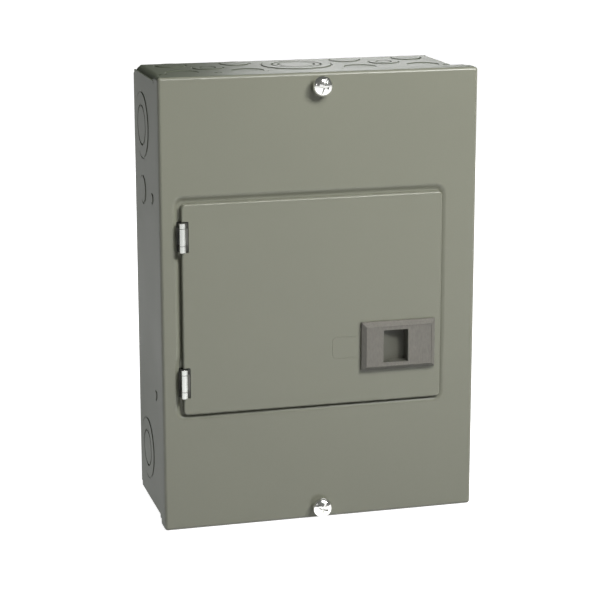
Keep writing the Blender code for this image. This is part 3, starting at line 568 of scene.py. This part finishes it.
# %% Door
DOOR_CORNER = 3.0 * mm
DOOR_BEND = 1.3 * mm
bezel_low, bezel_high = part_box("latch_bezel")
bm = bmesh.new()
open_box(bm, door_low, door_high)
uprights = [edge for edge in bm.edges if abs((edge.verts[0].co - edge.verts[1].co).y) > 1e-4]
round_edges(bm, uprights, DOOR_CORNER, 8)
round_edges(bm, edges_on(bm, lambda point: point.y < door_low.y + 1e-6), DOOR_BEND, 5)
door = as_object("door_shell", bm)
thicken(door, SHEET)
bm = bmesh.new()
for low_z, high_z in hinge_spans.values():
    notch_low = (HINGE_X - 2.0 * mm, -0.11, low_z - 0.7 * mm)
    notch_high = (HINGE_X + 4.6 * mm, -0.09, high_z + 0.7 * mm)
    round_edges(bm, crease_edges(block(bm, notch_low, notch_high), 1), 0.7 * mm, 3)
cut = block(bm, bezel_low + Vector((2.2, 2, 2.2)) * mm, bezel_high + Vector((-2.2, 3, -2.2)) * mm)
round_edges(bm, crease_edges(cut, 1), 1.0 * mm, 3)
carve(door, bm)

# %% [markdown]
# The outline for a key lock is made on its own: a thin plate, a smaller one taken out of it, and its right
# end cut off, which leaves a narrow line with two rounded corners. The line is then sunk into the door's
# face.

# %% Stamped outline on the door
mark_low, mark_high = Vector((7.4, 0.0, -42.6)) * mm, Vector((25.0, 0.0, -26.9)) * mm
groove = 0.45 * mm
bm = bmesh.new()
plate = block(bm, (mark_low.x, -0.0982, mark_low.z), (mark_high.x + 0.01, -0.0978, mark_high.z))
round_edges(bm, [edge for edge in crease_edges(plate, 1) if edge.verts[0].co.x < 0.01], 3.2 * mm, 5)
inner = bmesh.new()
inner_low = (mark_low.x + groove, -0.099, mark_low.z + groove)
inner_high = (mark_high.x + 0.02, -0.097, mark_high.z - groove)
hollow = block(inner, inner_low, inner_high)
round_edges(inner, [edge for edge in crease_edges(hollow, 1) if edge.verts[0].co.x < 0.01], 2.8 * mm, 5)
line = as_object("lock_line", bm)
carve(line, inner)
bm = bmesh.new()
block(bm, (mark_high.x, -0.100, mark_low.z - 0.002), (mark_high.x + 0.03, -0.096, mark_high.z + 0.002))
carve(line, bm)
bm = bmesh.new()
bm.from_mesh(line.data)
bpy.data.objects.remove(line)
carve(door, bm)
soften(door, 0.12 * mm, 2, 50.0)
hand_over(door, ENAMEL, "door", "grey_enamel", "door")

# %% [markdown]
# The box behind the cover has a back and two sides folded from one sheet. A round knockout is a disc that
# was almost punched out: it stands a little above or below the sheet, with a fine groove round it. Larger
# sizes are rings round smaller ones, and small dimples mark where to drill.

# %% Knockouts
KNOCK_STEP = 0.35 * mm
KNOCK_GROOVE = 0.7 * mm
KNOCK_LIFT = 0.25 * mm
BOX_SHEET = 1.2 * mm
box_low, box_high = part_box("enclosure_body")


def knockouts(obj, marks, centre_of, out):
    """Presses discs and cuts grooves. A mark is (place along, place across, radii, whether it is raised)."""
    raised, sunk, grooves = bmesh.new(), bmesh.new(), bmesh.new()
    out = Vector(out)
    for first, second, radii, lifted in marks:
        centre = centre_of(first * mm, second * mm)
        disc = raised if lifted else sunk
        rod(disc, centre - out * KNOCK_STEP, centre + out * KNOCK_STEP, radii[0] * mm, sides=64)
        for radius in radii:
            ring(grooves, centre, out, radius * mm, KNOCK_GROOVE, KNOCK_LIFT)
    if len(raised.verts):
        carve(obj, raised, "UNION")
    if len(sunk.verts):
        carve(obj, sunk)
    carve(obj, grooves)


# %% [markdown]
# The wrapper is folded along its two rear edges. Four holes in the back take wall screws. Its corners are
# cut away where the end walls' wide bends come through, because three sheets can't meet in one corner.

# %% Box: back and sides
bm = bmesh.new()
side, front = box_high.x, box_low.y
strip = [(-side, front), (-side, 0.0), (side, 0.0), (side, front)]
folded(bm, strip, "Z", box_low.z, box_high.z, 1.6 * mm, 4)
bmesh.ops.recalc_face_normals(bm, faces=bm.faces)
back = max(bm.faces, key=lambda face: face.calc_center_median().y)
if back.normal.y < 0:
    bmesh.ops.reverse_faces(bm, faces=bm.faces)
wrapper = as_object("wrapper_shell", bm)
thicken(wrapper, BOX_SHEET)
side_marks = [(-30, 119.5, (23.5, 14), True), (-30, 73.5, (10,), True), (-63, 72.5, (3.5,), True),
              (-64, -69.5, (3.5,), True), (-30, -118.5, (22.5, 13), True)]
knockouts(wrapper, side_marks, lambda along_y, up: Vector((-side, along_y, up)), (-1, 0, 0))
knockouts(wrapper, side_marks, lambda along_y, up: Vector((side, along_y, up)), (1, 0, 0))
bm = bmesh.new()
for x_side, z_side in CORNERS:
    rod(bm, (x_side * 0.08, -0.003, z_side * 0.128), (x_side * 0.08, 0.001, z_side * 0.128), 3.2 * mm)
    inner, outer = sorted((x_side * 107.8 * mm, x_side * 115 * mm))
    near, far = sorted((z_side * 155.7 * mm, z_side * 162 * mm))
    block(bm, (inner, -0.1, near), (outer, -3.5 * mm, far))
carve(wrapper, bm)
bm = bmesh.new()
for x_side, z_side in CORNERS:
    corner = Matrix.Translation((x_side * side, 0, z_side * box_high.z))
    bmesh.ops.create_cube(bm, size=8.0 * mm, matrix=corner @ Matrix.Rotation(math.radians(45), 4, "Y"))
carve(wrapper, bm)
soften(wrapper, 0.15 * mm, 2, 50.0)
hand_over(wrapper, ENAMEL_BOX_SHADED, "enclosure", "grey_enamel", "enclosure_body")

# %% [markdown]
# The top and the bottom of the box are two more folded sheets. Their ends turn down with a wide bend, and
# flanges at the front and the back take the cover screw and the spot welds. Most of the knockouts are here,
# because conduit usually comes in from above or below.

# %% Box: top and bottom
wall_low, wall_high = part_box("top_end_wall")
END_MARKS = [(-88, -12, (11.1,), True), (-41, -12, (11.1,), True), (41, -12, (11.1,), True),
             (88, -12, (11.1,), True), (-88, -52, (11.1,), False), (-41, -52, (11.1,), False),
             (41, -52, (11.1,), False), (88, -52, (11.1,), False), (-65, -31, (11, 5.5), True),
             (65, -31, (11, 5.5), True), (0, -30, (25.4, 17.5, 13), True), (-103, -60, (2.3,), True),
             (-64, -60, (2.3,), True), (27, -62, (2.3,), True), (-27, -62, (2.3,), True),
             (103, -60, (2.3,), True)]
for name, z_side in (("top", 1), ("bottom", -1)):
    level, end = z_side * 158.1 * mm, z_side * 143.1 * mm
    half, flange = 111.1 * mm, 104.2 * mm
    bm = bmesh.new()
    strip = [(-half, end), (-half, level), (half, level), (half, end)]
    folded(bm, strip, "Y", wall_low.y, wall_high.y, 5.9 * mm, 10)
    bmesh.ops.recalc_face_normals(bm, faces=bm.faces)
    crown = max(bm.faces, key=lambda face: abs(face.calc_center_median().z))
    if crown.normal.z * z_side < 0:
        bmesh.ops.reverse_faces(bm, faces=bm.faces)
    shell = as_object(name + "_wall_shell", bm)
    thicken(shell, BOX_SHEET)
    bm = bmesh.new()
    low_z, high_z = sorted((end, level - z_side * 0.6 * mm))
    block(bm, (-flange, wall_low.y, low_z), (flange, wall_low.y + BOX_SHEET, high_z))
    block(bm, (-flange, wall_high.y - BOX_SHEET, low_z), (flange, wall_high.y, high_z))
    carve(shell, bm, "UNION")
    bm = bmesh.new()
    rod(bm, (0, -0.096, z_side * 151.5 * mm), (0, -0.090, z_side * 151.5 * mm), 2.5 * mm)
    carve(shell, bm)
    knockouts(shell, END_MARKS, lambda x, y: Vector((x, y, level)), (0, 0, z_side))
    soften(shell, 0.18 * mm, 2, 50.0)
    hand_over(shell, ENAMEL_BOX_SHADED, "enclosure", "grey_enamel", name + "_end_wall")

# %% [markdown]
# Two bright screws hold the cover. Each is a turned part: a domed head on a short collar. The head takes
# either a flat or a cross driver, so it has a slot and a shorter cross.

# %% Cover screws
for name in ("cover_screw_upper", "cover_screw_lower"):
    low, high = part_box(name)
    middle = (low + high) / 2
    bm = bmesh.new()
    tip = high.y - low.y
    profile = [(0.0, 0.0)]
    for step in range(1, 9):
        lean = math.radians(90 * step / 8)
        profile.append((7.0 * mm * math.sin(lean), 4.3 * mm * (1 - math.cos(lean))))
    profile += [(7.0 * mm, 5.1 * mm), (6.6 * mm, 5.5 * mm), (4.6 * mm, 5.5 * mm), (4.6 * mm, 8.7 * mm),
                (2.1 * mm, 8.7 * mm), (2.1 * mm, tip - 0.8 * mm), (1.4 * mm, tip), (0.0, tip)]
    turned(bm, profile)
    crown = Matrix.Translation((middle.x, low.y, middle.z))
    bm.transform(crown @ along((0, 1, 0)))
    screw = as_object(name + "_turned", bm)
    lean = Matrix.Rotation(math.radians(20), 4, "Y")
    for long, wide, deep in ((18 * mm, 1.3 * mm, 2.0 * mm), (1.7 * mm, 7.0 * mm, 2.6 * mm)):
        bm = bmesh.new()
        place = crown @ lean @ Matrix.Diagonal((wide, 2 * deep, long, 1.0))
        bmesh.ops.create_cube(bm, size=1.0, matrix=place)
        carve(screw, bm)
    soften(screw, 0.12 * mm, 2, 50.0)
    hand_over(screw, ZINC, "enclosure", "zinc_plate", name)

# %% [markdown]
# A hinge leaf is a strip whose end is rolled round the pin. The cover's leaf holds the upper and the lower
# knuckle, the door's leaf the long one between them. Where the roll closes there is a seam, a fine dark
# line down the barrel.

# %% Hinges
KNUCKLE = 1.9 * mm
LEAF = 0.8 * mm


def rolled(bm, path, low, high):
    """A strip along a path of (x, y) points, drawn out between two heights."""
    verts = [bm.verts.new((x, y, low)) for x, y in path]
    edges = [bm.edges.new(pair) for pair in zip(verts, verts[1:])]
    made = bmesh.ops.extrude_edge_only(bm, edges=edges)["geom"]
    moved = [item for item in made if isinstance(item, bmesh.types.BMVert)]
    bmesh.ops.translate(bm, vec=(0, 0, high - low), verts=moved)


def curl(start, end, steps=28):
    """Points along the roll, from one angle in degrees to another."""
    turns = [math.radians(start + (end - start) * step / steps) for step in range(steps + 1)]
    return [(HINGE_X + KNUCKLE * math.cos(turn), HINGE_Y + KNUCKLE * math.sin(turn)) for turn in turns]


def seam(obj, low, high):
    """The closing line of the roll, cut down the front of the barrel."""
    bm = bmesh.new()
    edge = Vector((HINGE_X + 0.62 * mm, HINGE_Y - 2.25 * mm, 0))
    cut_low = Vector((-0.4 * mm, -1 * mm, low - 1 * mm))
    cut_high = Vector((0.4 * mm, 0.75 * mm, high + 1 * mm))
    block(bm, edge + cut_low, edge + cut_high)
    carve(obj, bm)


for place, (low_z, high_z) in hinge_spans.items():
    low_end, high_end = low_z + 4.8 * mm, high_z - 3.8 * mm
    fixed_low, fixed_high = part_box("hinge_cover_leaf_" + place)
    door_leaf_low, door_leaf_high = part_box("hinge_door_leaf_" + place)
    bm = bmesh.new()
    path = [(HINGE_X - KNUCKLE, fixed_high.y - LEAF)] + curl(180, 500)
    rolled(bm, path, low_z, low_end - 0.3 * mm)
    rolled(bm, path, high_end + 0.3 * mm, high_z)
    leaf = as_object("cover_leaf_" + place, bm)
    thicken(leaf, LEAF, 0.0)
    bm = bmesh.new()
    plate_low = (fixed_low.x, fixed_high.y - 0.85 * mm, low_z)
    block(bm, plate_low, (HINGE_X - 1.5 * mm, fixed_high.y, high_z))
    carve(leaf, bm, "UNION")
    seam(leaf, low_z, high_z)
    soften(leaf, 0.1 * mm, 2, 50.0)
    hand_over(leaf, HINGE_ZINC_SHADED, "enclosure", "zinc_plate", "hinge_cover_leaf_" + place)
    bm = bmesh.new()
    rolled(bm, [(HINGE_X + 4.0 * mm, HINGE_Y + KNUCKLE)] + curl(90, 400), low_end, high_end)
    leaf = as_object("door_leaf_" + place, bm)
    thicken(leaf, LEAF, 0.0)
    bm = bmesh.new()
    neck_low = (HINGE_X + 3.2 * mm, HINGE_Y + 1.6 * mm, low_end)
    block(bm, neck_low, (HINGE_X + 4.1 * mm, door_leaf_high.y, high_end))
    carve(leaf, bm, "UNION")
    bm = bmesh.new()
    plate_low = (HINGE_X + 3.2 * mm, door_leaf_high.y - 0.9 * mm, door_leaf_low.z)
    block(bm, plate_low, (door_leaf_high.x, door_leaf_high.y, door_leaf_high.z))
    carve(leaf, bm, "UNION")
    seam(leaf, low_z, high_z)
    soften(leaf, 0.1 * mm, 2, 50.0)
    hand_over(leaf, HINGE_ZINC_SHADED, "door", "zinc_plate", "hinge_door_leaf_" + place)
    bm = bmesh.new()
    pin_top = (high_z - low_z) / 2
    turned(bm, [(0.0, -pin_top), (0.7 * mm, -pin_top), (1.0 * mm, 0.4 * mm - pin_top),
                (1.0 * mm, pin_top - 0.4 * mm), (0.7 * mm, pin_top), (0.0, pin_top)], 32)
    bm.transform(Matrix.Translation((HINGE_X, HINGE_Y, (low_z + high_z) / 2)))
    hand_over(as_object("pin_" + place, bm), ZINC, "enclosure", "zinc_plate", "hinge_pin_" + place)

# %% [markdown]
# The latch bezel is a moulded cap with wide chamfers. The window for the finger sits left of its middle.
# Right of the window's left edge the face is a shade lower, where the mould has an insert, so the cap has a
# fine step there.

# %% Latch bezel
BEZEL_CHAMFER = 2.9 * mm
BEZEL_INSET = 3.3 * mm
scoop_low, scoop_high = Vector((44.1, 0.0, -46.7)) * mm, Vector((62.5, 0.0, -23.0)) * mm
bm = bmesh.new()
block(bm, bezel_low, bezel_high)
round_edges(bm, edges_on(bm, lambda point: point.y < bezel_low.y + 1e-6), BEZEL_CHAMFER, 1)
bezel = as_object("bezel_cap", bm)
bm = bmesh.new()
wall = Vector((1.8, 1.8, 1.8)) * mm
block(bm, bezel_low + wall, bezel_high + Vector((-1.8, 2.0, -1.8)) * mm)
carve(bezel, bm)
bm = bmesh.new()
step_low = (scoop_low.x, bezel_low.y - 1 * mm, bezel_low.z + BEZEL_INSET)
block(bm, step_low, (bezel_high.x - BEZEL_INSET, bezel_low.y + 0.3 * mm, bezel_high.z - BEZEL_INSET))
carve(bezel, bm)
bm = bmesh.new()
window = block(bm, (scoop_low.x, -0.110, scoop_low.z), (scoop_high.x, -0.095, scoop_high.z))
round_edges(bm, crease_edges(window, 1), 0.5 * mm, 3)
carve(bezel, bm)
soften(bezel, 0.22 * mm, 3, 30.0)
hand_over(bezel, LATCH, "door", "latch_plastic", "latch_bezel")

# %% [markdown]
# Behind the window lies the sliding bolt. Its finger scoop is shallow on the left and deep on the right, so
# that a fingertip drags it to the left. We cut the scoop with a solid whose floor follows a quarter wave.
# An arm carries the bolt's nose out past the edge of the opening.

# %% Sliding bolt
bm = bmesh.new()
block(bm, (42.3 * mm, -101.0 * mm, -47.6 * mm), (68.8 * mm, -93.3 * mm, -21.6 * mm))
slider = as_object("bolt", bm)
ARM = (66.8, -96.6, -40.7), (78.7, -94.4, -28.7)
POST = (75.5, -95.4, -40.2), (78.5, -90.4, -29.2)
for low, high in (ARM, POST):
    bm = bmesh.new()
    block(bm, Vector(low) * mm, Vector(high) * mm)
    carve(slider, bm, "UNION")
bm = bmesh.new()
nose = block(bm, Vector((77.0, -92.8, -39.7)) * mm, Vector((84.6, -90.5, -29.7)) * mm)
tip = [vert for vert in nose if vert.co.x > 80 * mm and vert.co.y > -91 * mm]
bmesh.ops.translate(bm, vec=(-2.5 * mm, 0, 0), verts=tip)
carve(slider, bm, "UNION")
bm = bmesh.new()
left, right = 44.6 * mm, 62.1 * mm
floor_line = [(left, -110 * mm)]
for step in range(15):
    share = step / 14
    deep = -99.8 * mm + 5.2 * mm * math.sin(math.pi / 2 * share)
    floor_line.append((left + (right - left) * share, deep))
floor_line.append((right, -110 * mm))
outline = bm.faces.new([bm.verts.new((x, y, -46.4 * mm)) for x, y in floor_line])
made = bmesh.ops.extrude_face_region(bm, geom=[outline])["geom"]
moved = [item for item in made if isinstance(item, bmesh.types.BMVert)]
bmesh.ops.translate(bm, vec=(0, 0, 23.1 * mm), verts=moved)
bmesh.ops.recalc_face_normals(bm, faces=bm.faces)
carve(slider, bm)
soften(slider, 0.25 * mm, 3, 40.0)
hand_over(slider, LATCH_SCOOP_SHADED, "latch_slider", "latch_plastic", "latch_slider", angle=40.0)

# %% [markdown]
# A small coil spring pushes the bolt back. The wire is a circle swept round the coil's axis while it moves
# along.

# %% Spring
spring_low, spring_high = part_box("latch_spring")
centre = (spring_low + spring_high) / 2
WIRE, TURNS = 0.28 * mm, 6
coil = (spring_high.z - spring_low.z) / 2 - WIRE
reach = spring_high.x - spring_low.x - 2 * WIRE
bm = bmesh.new()
place = Matrix.Translation((spring_low.x + WIRE, centre.y + coil, centre.z))
loop = bmesh.ops.create_circle(bm, cap_ends=False, segments=10, radius=WIRE, matrix=place)["verts"]
rims = list({edge for vert in loop for edge in vert.link_edges})
bmesh.ops.spin(
    bm, geom=loop + rims, cent=(0, centre.y, centre.z), axis=(1, 0, 0), angle=math.tau * TURNS,
    steps=24 * TURNS, dvec=(reach / (24 * TURNS), 0, 0),
)
bmesh.ops.holes_fill(bm, edges=[edge for edge in bm.edges if len(edge.link_faces) == 1], sides=0)
bmesh.ops.recalc_face_normals(bm, faces=bm.faces)
spring = as_object("coil", bm)
hand_over(spring, SPRING, "door", "spring_steel", "latch_spring", flat=False)
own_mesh(spring)

# %% [markdown]
# Behind the opening lies the dead front, a tray that keeps fingers off live parts. Its two windows let the
# breaker handles through, and a slot in its right wall takes the bolt. It is pressed from sheet, so its
# bends are rounded.

# %% Dead front
tray_low, tray_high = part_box("dead_front")
WELL = 1.5 * mm
bm = bmesh.new()
well_low = (opening_low.x - WELL, tray_low.y, opening_low.z - WELL)
block(bm, well_low, (opening_high.x + WELL, -79.0 * mm, opening_high.z + WELL))
mouth = [face for face in bm.faces if face.normal.y < -0.9]
rim = list(mouth[0].edges)
bmesh.ops.delete(bm, geom=mouth, context="FACES_ONLY")
made = bmesh.ops.extrude_edge_only(bm, edges=rim)["geom"]
for vert in [item for item in made if isinstance(item, bmesh.types.BMVert)]:
    vert.co.x = tray_low.x if vert.co.x < 0 else tray_high.x
    vert.co.z = math.copysign(tray_high.z, vert.co.z)
bends = [edge for edge in bm.edges if len(edge.link_faces) == 2 and edge.calc_face_angle(0) > 0.5]
round_edges(bm, bends, 1.0 * mm, 4)
bmesh.ops.recalc_face_normals(bm, faces=bm.faces)
plate = max(bm.faces, key=lambda face: face.calc_center_median().y)
if plate.normal.y > 0:
    bmesh.ops.reverse_faces(bm, faces=bm.faces)
tray = as_object("dead_front_tray", bm)
thicken(tray, SHEET)
bm = bmesh.new()
for x_side in (-1, 1):
    inner, outer = sorted((x_side * 13.4 * mm, x_side * 56.6 * mm))
    cut = block(bm, (inner, -0.09, -38.4 * mm), (outer, -0.07, 38.4 * mm))
    round_edges(bm, crease_edges(cut, 1), 0.8 * mm, 3)
strike = Vector((79.5, -96.0, -43.7)) * mm
block(bm, strike, strike + Vector((12.0, 8.5, 18.0)) * mm)
carve(tray, bm)
soften(tray, 0.12 * mm, 2, 50.0)
hand_over(tray, ENAMEL, "enclosure", "grey_enamel", "dead_front")

# %% [markdown]
# The rest of the inside keeps the shapes it already has, with its edges broken. A copy of the node is
# merged, its flat faces are joined again, and every sharp edge gets the small round that a mould, a press
# or a file leaves.

# %% Pieces that follow their nodes
def copy_of(node):
    """A node's own shape, merged and with its flat faces joined."""
    bm = bmesh.new()
    bm.from_mesh(frame["nodes"][node].data)
    bmesh.ops.remove_doubles(bm, verts=bm.verts, dist=0.002 * mm)
    bmesh.ops.dissolve_limit(bm, angle_limit=math.radians(1), verts=bm.verts, edges=bm.edges)
    bmesh.ops.recalc_face_normals(bm, faces=bm.faces)
    return bm


def dressed(node, finish, slot, edge=0.3 * mm, cuts=None, steps=2):
    """A copy of a node with its edges broken, its cuts made and its finish on."""
    obj = as_object(node + "_dressed", copy_of(node))
    if cuts:
        carve(obj, cuts)
    soften(obj, edge, steps, 40.0)
    hand_over(obj, finish, frame["nodes"][node]["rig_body"], slot, node, angle=38.0)


def slotted(centre, direction, size, turn=0.0, cross=False):
    """A driver slot, or a cross, as a cutter."""
    bm = bmesh.new()
    lean = along(direction) @ Matrix.Rotation(turn, 4, "Z")
    shape = Matrix.Diagonal((size * 2.4, size * 0.24, size * 0.8, 1.0))
    if cross:
        shape = Matrix.Diagonal((size * 1.2, size * 0.24, size * 0.9, 1.0))
    bmesh.ops.create_cube(bm, size=1.0, matrix=Matrix.Translation(centre) @ lean @ shape)
    return bm


def driven(node, size, turn, edge=0.25 * mm, cross=False):
    """A plated screw with a slot or a cross in its head."""
    low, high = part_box(node)
    middle = (low + high) / 2
    cut = slotted((middle.x, low.y, middle.z), (0, -1, 0), size, turn, cross)
    dressed(node, DULL_ZINC, "zinc_plate", edge, cut)


# %% [markdown]
# Each breaker is a moulded case held by rivets, which sit in shallow round wells. Ribs by the terminal keep
# the wire straight. The dead front gets a plain painted number beside each breaker.

# %% Breakers
def lettering(name, text, size, place):
    """A painted digit on the dead front, standing a hair above it."""
    curve = bpy.data.curves.new(name, "FONT")
    curve.body = text
    curve.size = size
    curve.align_x = "CENTER"
    curve.align_y = "CENTER"
    curve.extrude = 0.03 * mm
    made = bpy.data.objects.new(name, curve)
    bpy.context.scene.collection.objects.link(made)
    graph = bpy.context.evaluated_depsgraph_get()
    mesh = bpy.data.meshes.new_from_object(made.evaluated_get(graph))
    bpy.data.objects.remove(made)
    bm = bmesh.new()
    bm.from_mesh(mesh)
    bpy.data.meshes.remove(mesh)
    bmesh.ops.remove_doubles(bm, verts=bm.verts, dist=0.001 * mm)
    bm.transform(place)
    hand_over(as_object(name, bm), INK, "enclosure", "grey_enamel", flat=False)


for number in range(1, 7):
    side = -1 if number % 2 else 1
    low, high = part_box(f"breaker_{number}")
    row = (low.z + high.z) / 2
    case = as_object(f"case_{number}", copy_of(f"breaker_{number}"))
    rivets = bmesh.new()
    for along_x, depth in ((14, -62), (14, -44), (60, -50), (60, -34)):
        for z_side in (-1, 1):
            face_z = row + z_side * 12.5 * mm
            floor_end = (side * along_x * mm, depth * mm, face_z - z_side * 0.5 * mm)
            open_end = (side * along_x * mm, depth * mm, face_z + z_side * mm)
            rod(rivets, floor_end, open_end, 2.2 * mm, sides=24)
    carve(case, rivets)
    ribs = bmesh.new()
    for step in range(3):
        rib_x = side * (66.0 + 3.2 * step) * mm
        rib_low = (rib_x - 0.4 * mm, -58.4 * mm, row - 11 * mm)
        block(ribs, rib_low, (rib_x + 0.4 * mm, -57.0 * mm, row - 6 * mm))
    carve(case, ribs)
    soften(case, 0.35 * mm, 3, 40.0)
    hand_over(case, BREAKER, "enclosure", "breaker_plastic", f"breaker_{number}", angle=38.0)
    dressed(f"breaker_handle_{number}", HANDLE, "breaker_plastic", 0.5 * mm, steps=3)
    spot = Matrix.Translation((side * 64.0 * mm, -79.05 * mm, row))
    lettering(f"number_{number}", str(number), 6.0 * mm, spot @ Matrix.Rotation(math.radians(90), 4, "X"))
    driven(f"terminal_screw_{number}", 4.2 * mm, 0.5 * number)

# %% [markdown]
# The wire lugs and the bars are drawn aluminium, the interior pan and the rails are galvanised, and the
# base that carries the bus is a dark thermoset. Screws get a slot or a cross.

# %% Bus, lugs and bars
for letter in ("a", "b"):
    dressed("bus_bar_" + letter, ALUMINIUM, "aluminium", 0.3 * mm)
    dressed("line_lug_" + letter, ALUMINIUM, "aluminium", 0.5 * mm)
for node in ("line_lug_a_screw", "line_lug_b_screw", "neutral_lug_screw"):
    driven(node, 4.0 * mm, 0.6)
dressed("neutral_lug", ALUMINIUM, "aluminium", 0.5 * mm)
dressed("insulating_base", BASE, "base_plastic", 0.5 * mm, steps=3)
dressed("interior_pan", GALVANISED, "galvanised_steel", 0.2 * mm)
for node in ("breaker_rail_left", "breaker_rail_right", "latch_retainer"):
    dressed(node, GALVANISED, "galvanised_steel", 0.15 * mm)
for node in ("neutral_standoff_lower", "neutral_standoff_upper"):
    dressed(node, STANDOFF, "standoff_plastic", 0.6 * mm, steps=3)
dressed("bonding_strap", BRASS, "brass_strap", 0.15 * mm)
dressed("bonding_screw", GREEN, "green_bonding", 0.25 * mm)
for number in range(1, 5):
    driven(f"interior_screw_{number}", 4.5 * mm, 0.4 * number, 0.3 * mm, cross=True)

# %% [markdown]
# The neutral and the ground bar have a row of wire holes through their side, and a screw over each that
# clamps its wire. The screws are small and all alike, so each row is one piece. Every head is turned a
# little further round.

# %% Bars with their wire screws
BAR_PITCH = 10


def wire_bar(node, first, count, seat):
    """A bar with a row of wire holes through its side and a screw over each."""
    low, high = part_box(node)
    middle = (low + high) / 2
    heights = [(first + BAR_PITCH * index) * mm for index in range(count)]
    holes, screws, slots = bmesh.new(), bmesh.new(), bmesh.new()
    for height in heights:
        rod(holes, (low.x - mm, middle.y, height), (high.x + mm, middle.y, height), 2.6 * mm, sides=24)
    dressed(node, ALUMINIUM, "aluminium", 0.3 * mm, holes)
    for index, height in enumerate(heights):
        spot = Vector((middle.x, seat * mm, height))
        head = spot + Vector((0, -3.0 * mm, 0))
        rod(screws, spot, head, 3.2 * mm, sides=28)
        pour(slotted(head, (0, -1, 0), 3.2 * mm, 1.3 * index), slots)
    heads = as_object(node + "_screws", screws)
    carve(heads, slots)
    soften(heads, 0.25 * mm, 2, 40.0)
    hand_over(heads, DULL_ZINC, "enclosure", "zinc_plate", angle=38.0)


wire_bar("neutral_bar", -62, 14, -44.3)
wire_bar("ground_bar", -62, 12, -11.3)

# %% [markdown]
# The stage is a pale floor just under the panel and a white backdrop far behind it. The key lamp hangs high
# on the right and a smaller one over the front, which brings out the upper edges. A weak fill keeps the
# left side readable, and a rear lamp draws the knockouts on the top. The floor and the backdrop are bright
# to look at, but they don't light the panel, so its sides stay a shade darker than its front.

# %% Stage and light
bm = bmesh.new()
bmesh.ops.create_grid(bm, x_segments=1, y_segments=1, size=40.0)
bmesh.ops.translate(bm, vec=(0, 0, cad_low.z - 0.4 * mm), verts=bm.verts)
floor = as_object("floor", bm)
floor.data.materials.append(FLOOR)
bm = bmesh.new()
place = Matrix.Translation((0.6, 3.0, 0.0)) @ Matrix.Rotation(math.radians(90), 4, "X")
bmesh.ops.create_grid(bm, x_segments=1, y_segments=1, size=6.0, matrix=place)
backdrop = as_object("backdrop", bm)
backdrop.data.materials.append(BACKDROP)
backdrop.visible_diffuse = False
backdrop.visible_glossy = False
floor.visible_diffuse = False


def lamp(name, place, aim, size, power):
    """A round soft lamp that points at a spot."""
    data = bpy.data.lights.new(name, "AREA")
    data.shape = "DISK"
    data.size = size
    data.energy = power
    made = bpy.data.objects.new(name, data)
    bpy.context.scene.collection.objects.link(made)
    made.location = place
    made.rotation_euler = (Vector(aim) - Vector(place)).to_track_quat("-Z", "Y").to_euler()


lamp("key", (0.585, -0.89, 0.79), (0.0, -0.09, 0.02), 0.34, 14.0)
lamp("top", (0.2, -0.75, 0.8), (0.05, -0.1, 0.1), 0.3, 4.0)
lamp("fill", (-1.5, -0.9, 0.6), (0.0, -0.05, 0.0), 0.35, 0.9)
lamp("rear", (0.5, 1.5, 0.3), (0.0, 0.0, 0.0), 0.4, 3.0)
world = bpy.data.worlds.new("surround")
world.use_nodes = True
air = world.node_tree.nodes["Background"]
air.inputs["Color"].default_value = (0.97, 1.0, 0.93, 1.0)
air.inputs["Strength"].default_value = 0.14
bpy.context.scene.world = world
bpy.context.scene.view_settings.view_transform = "Standard"
print("stage set")
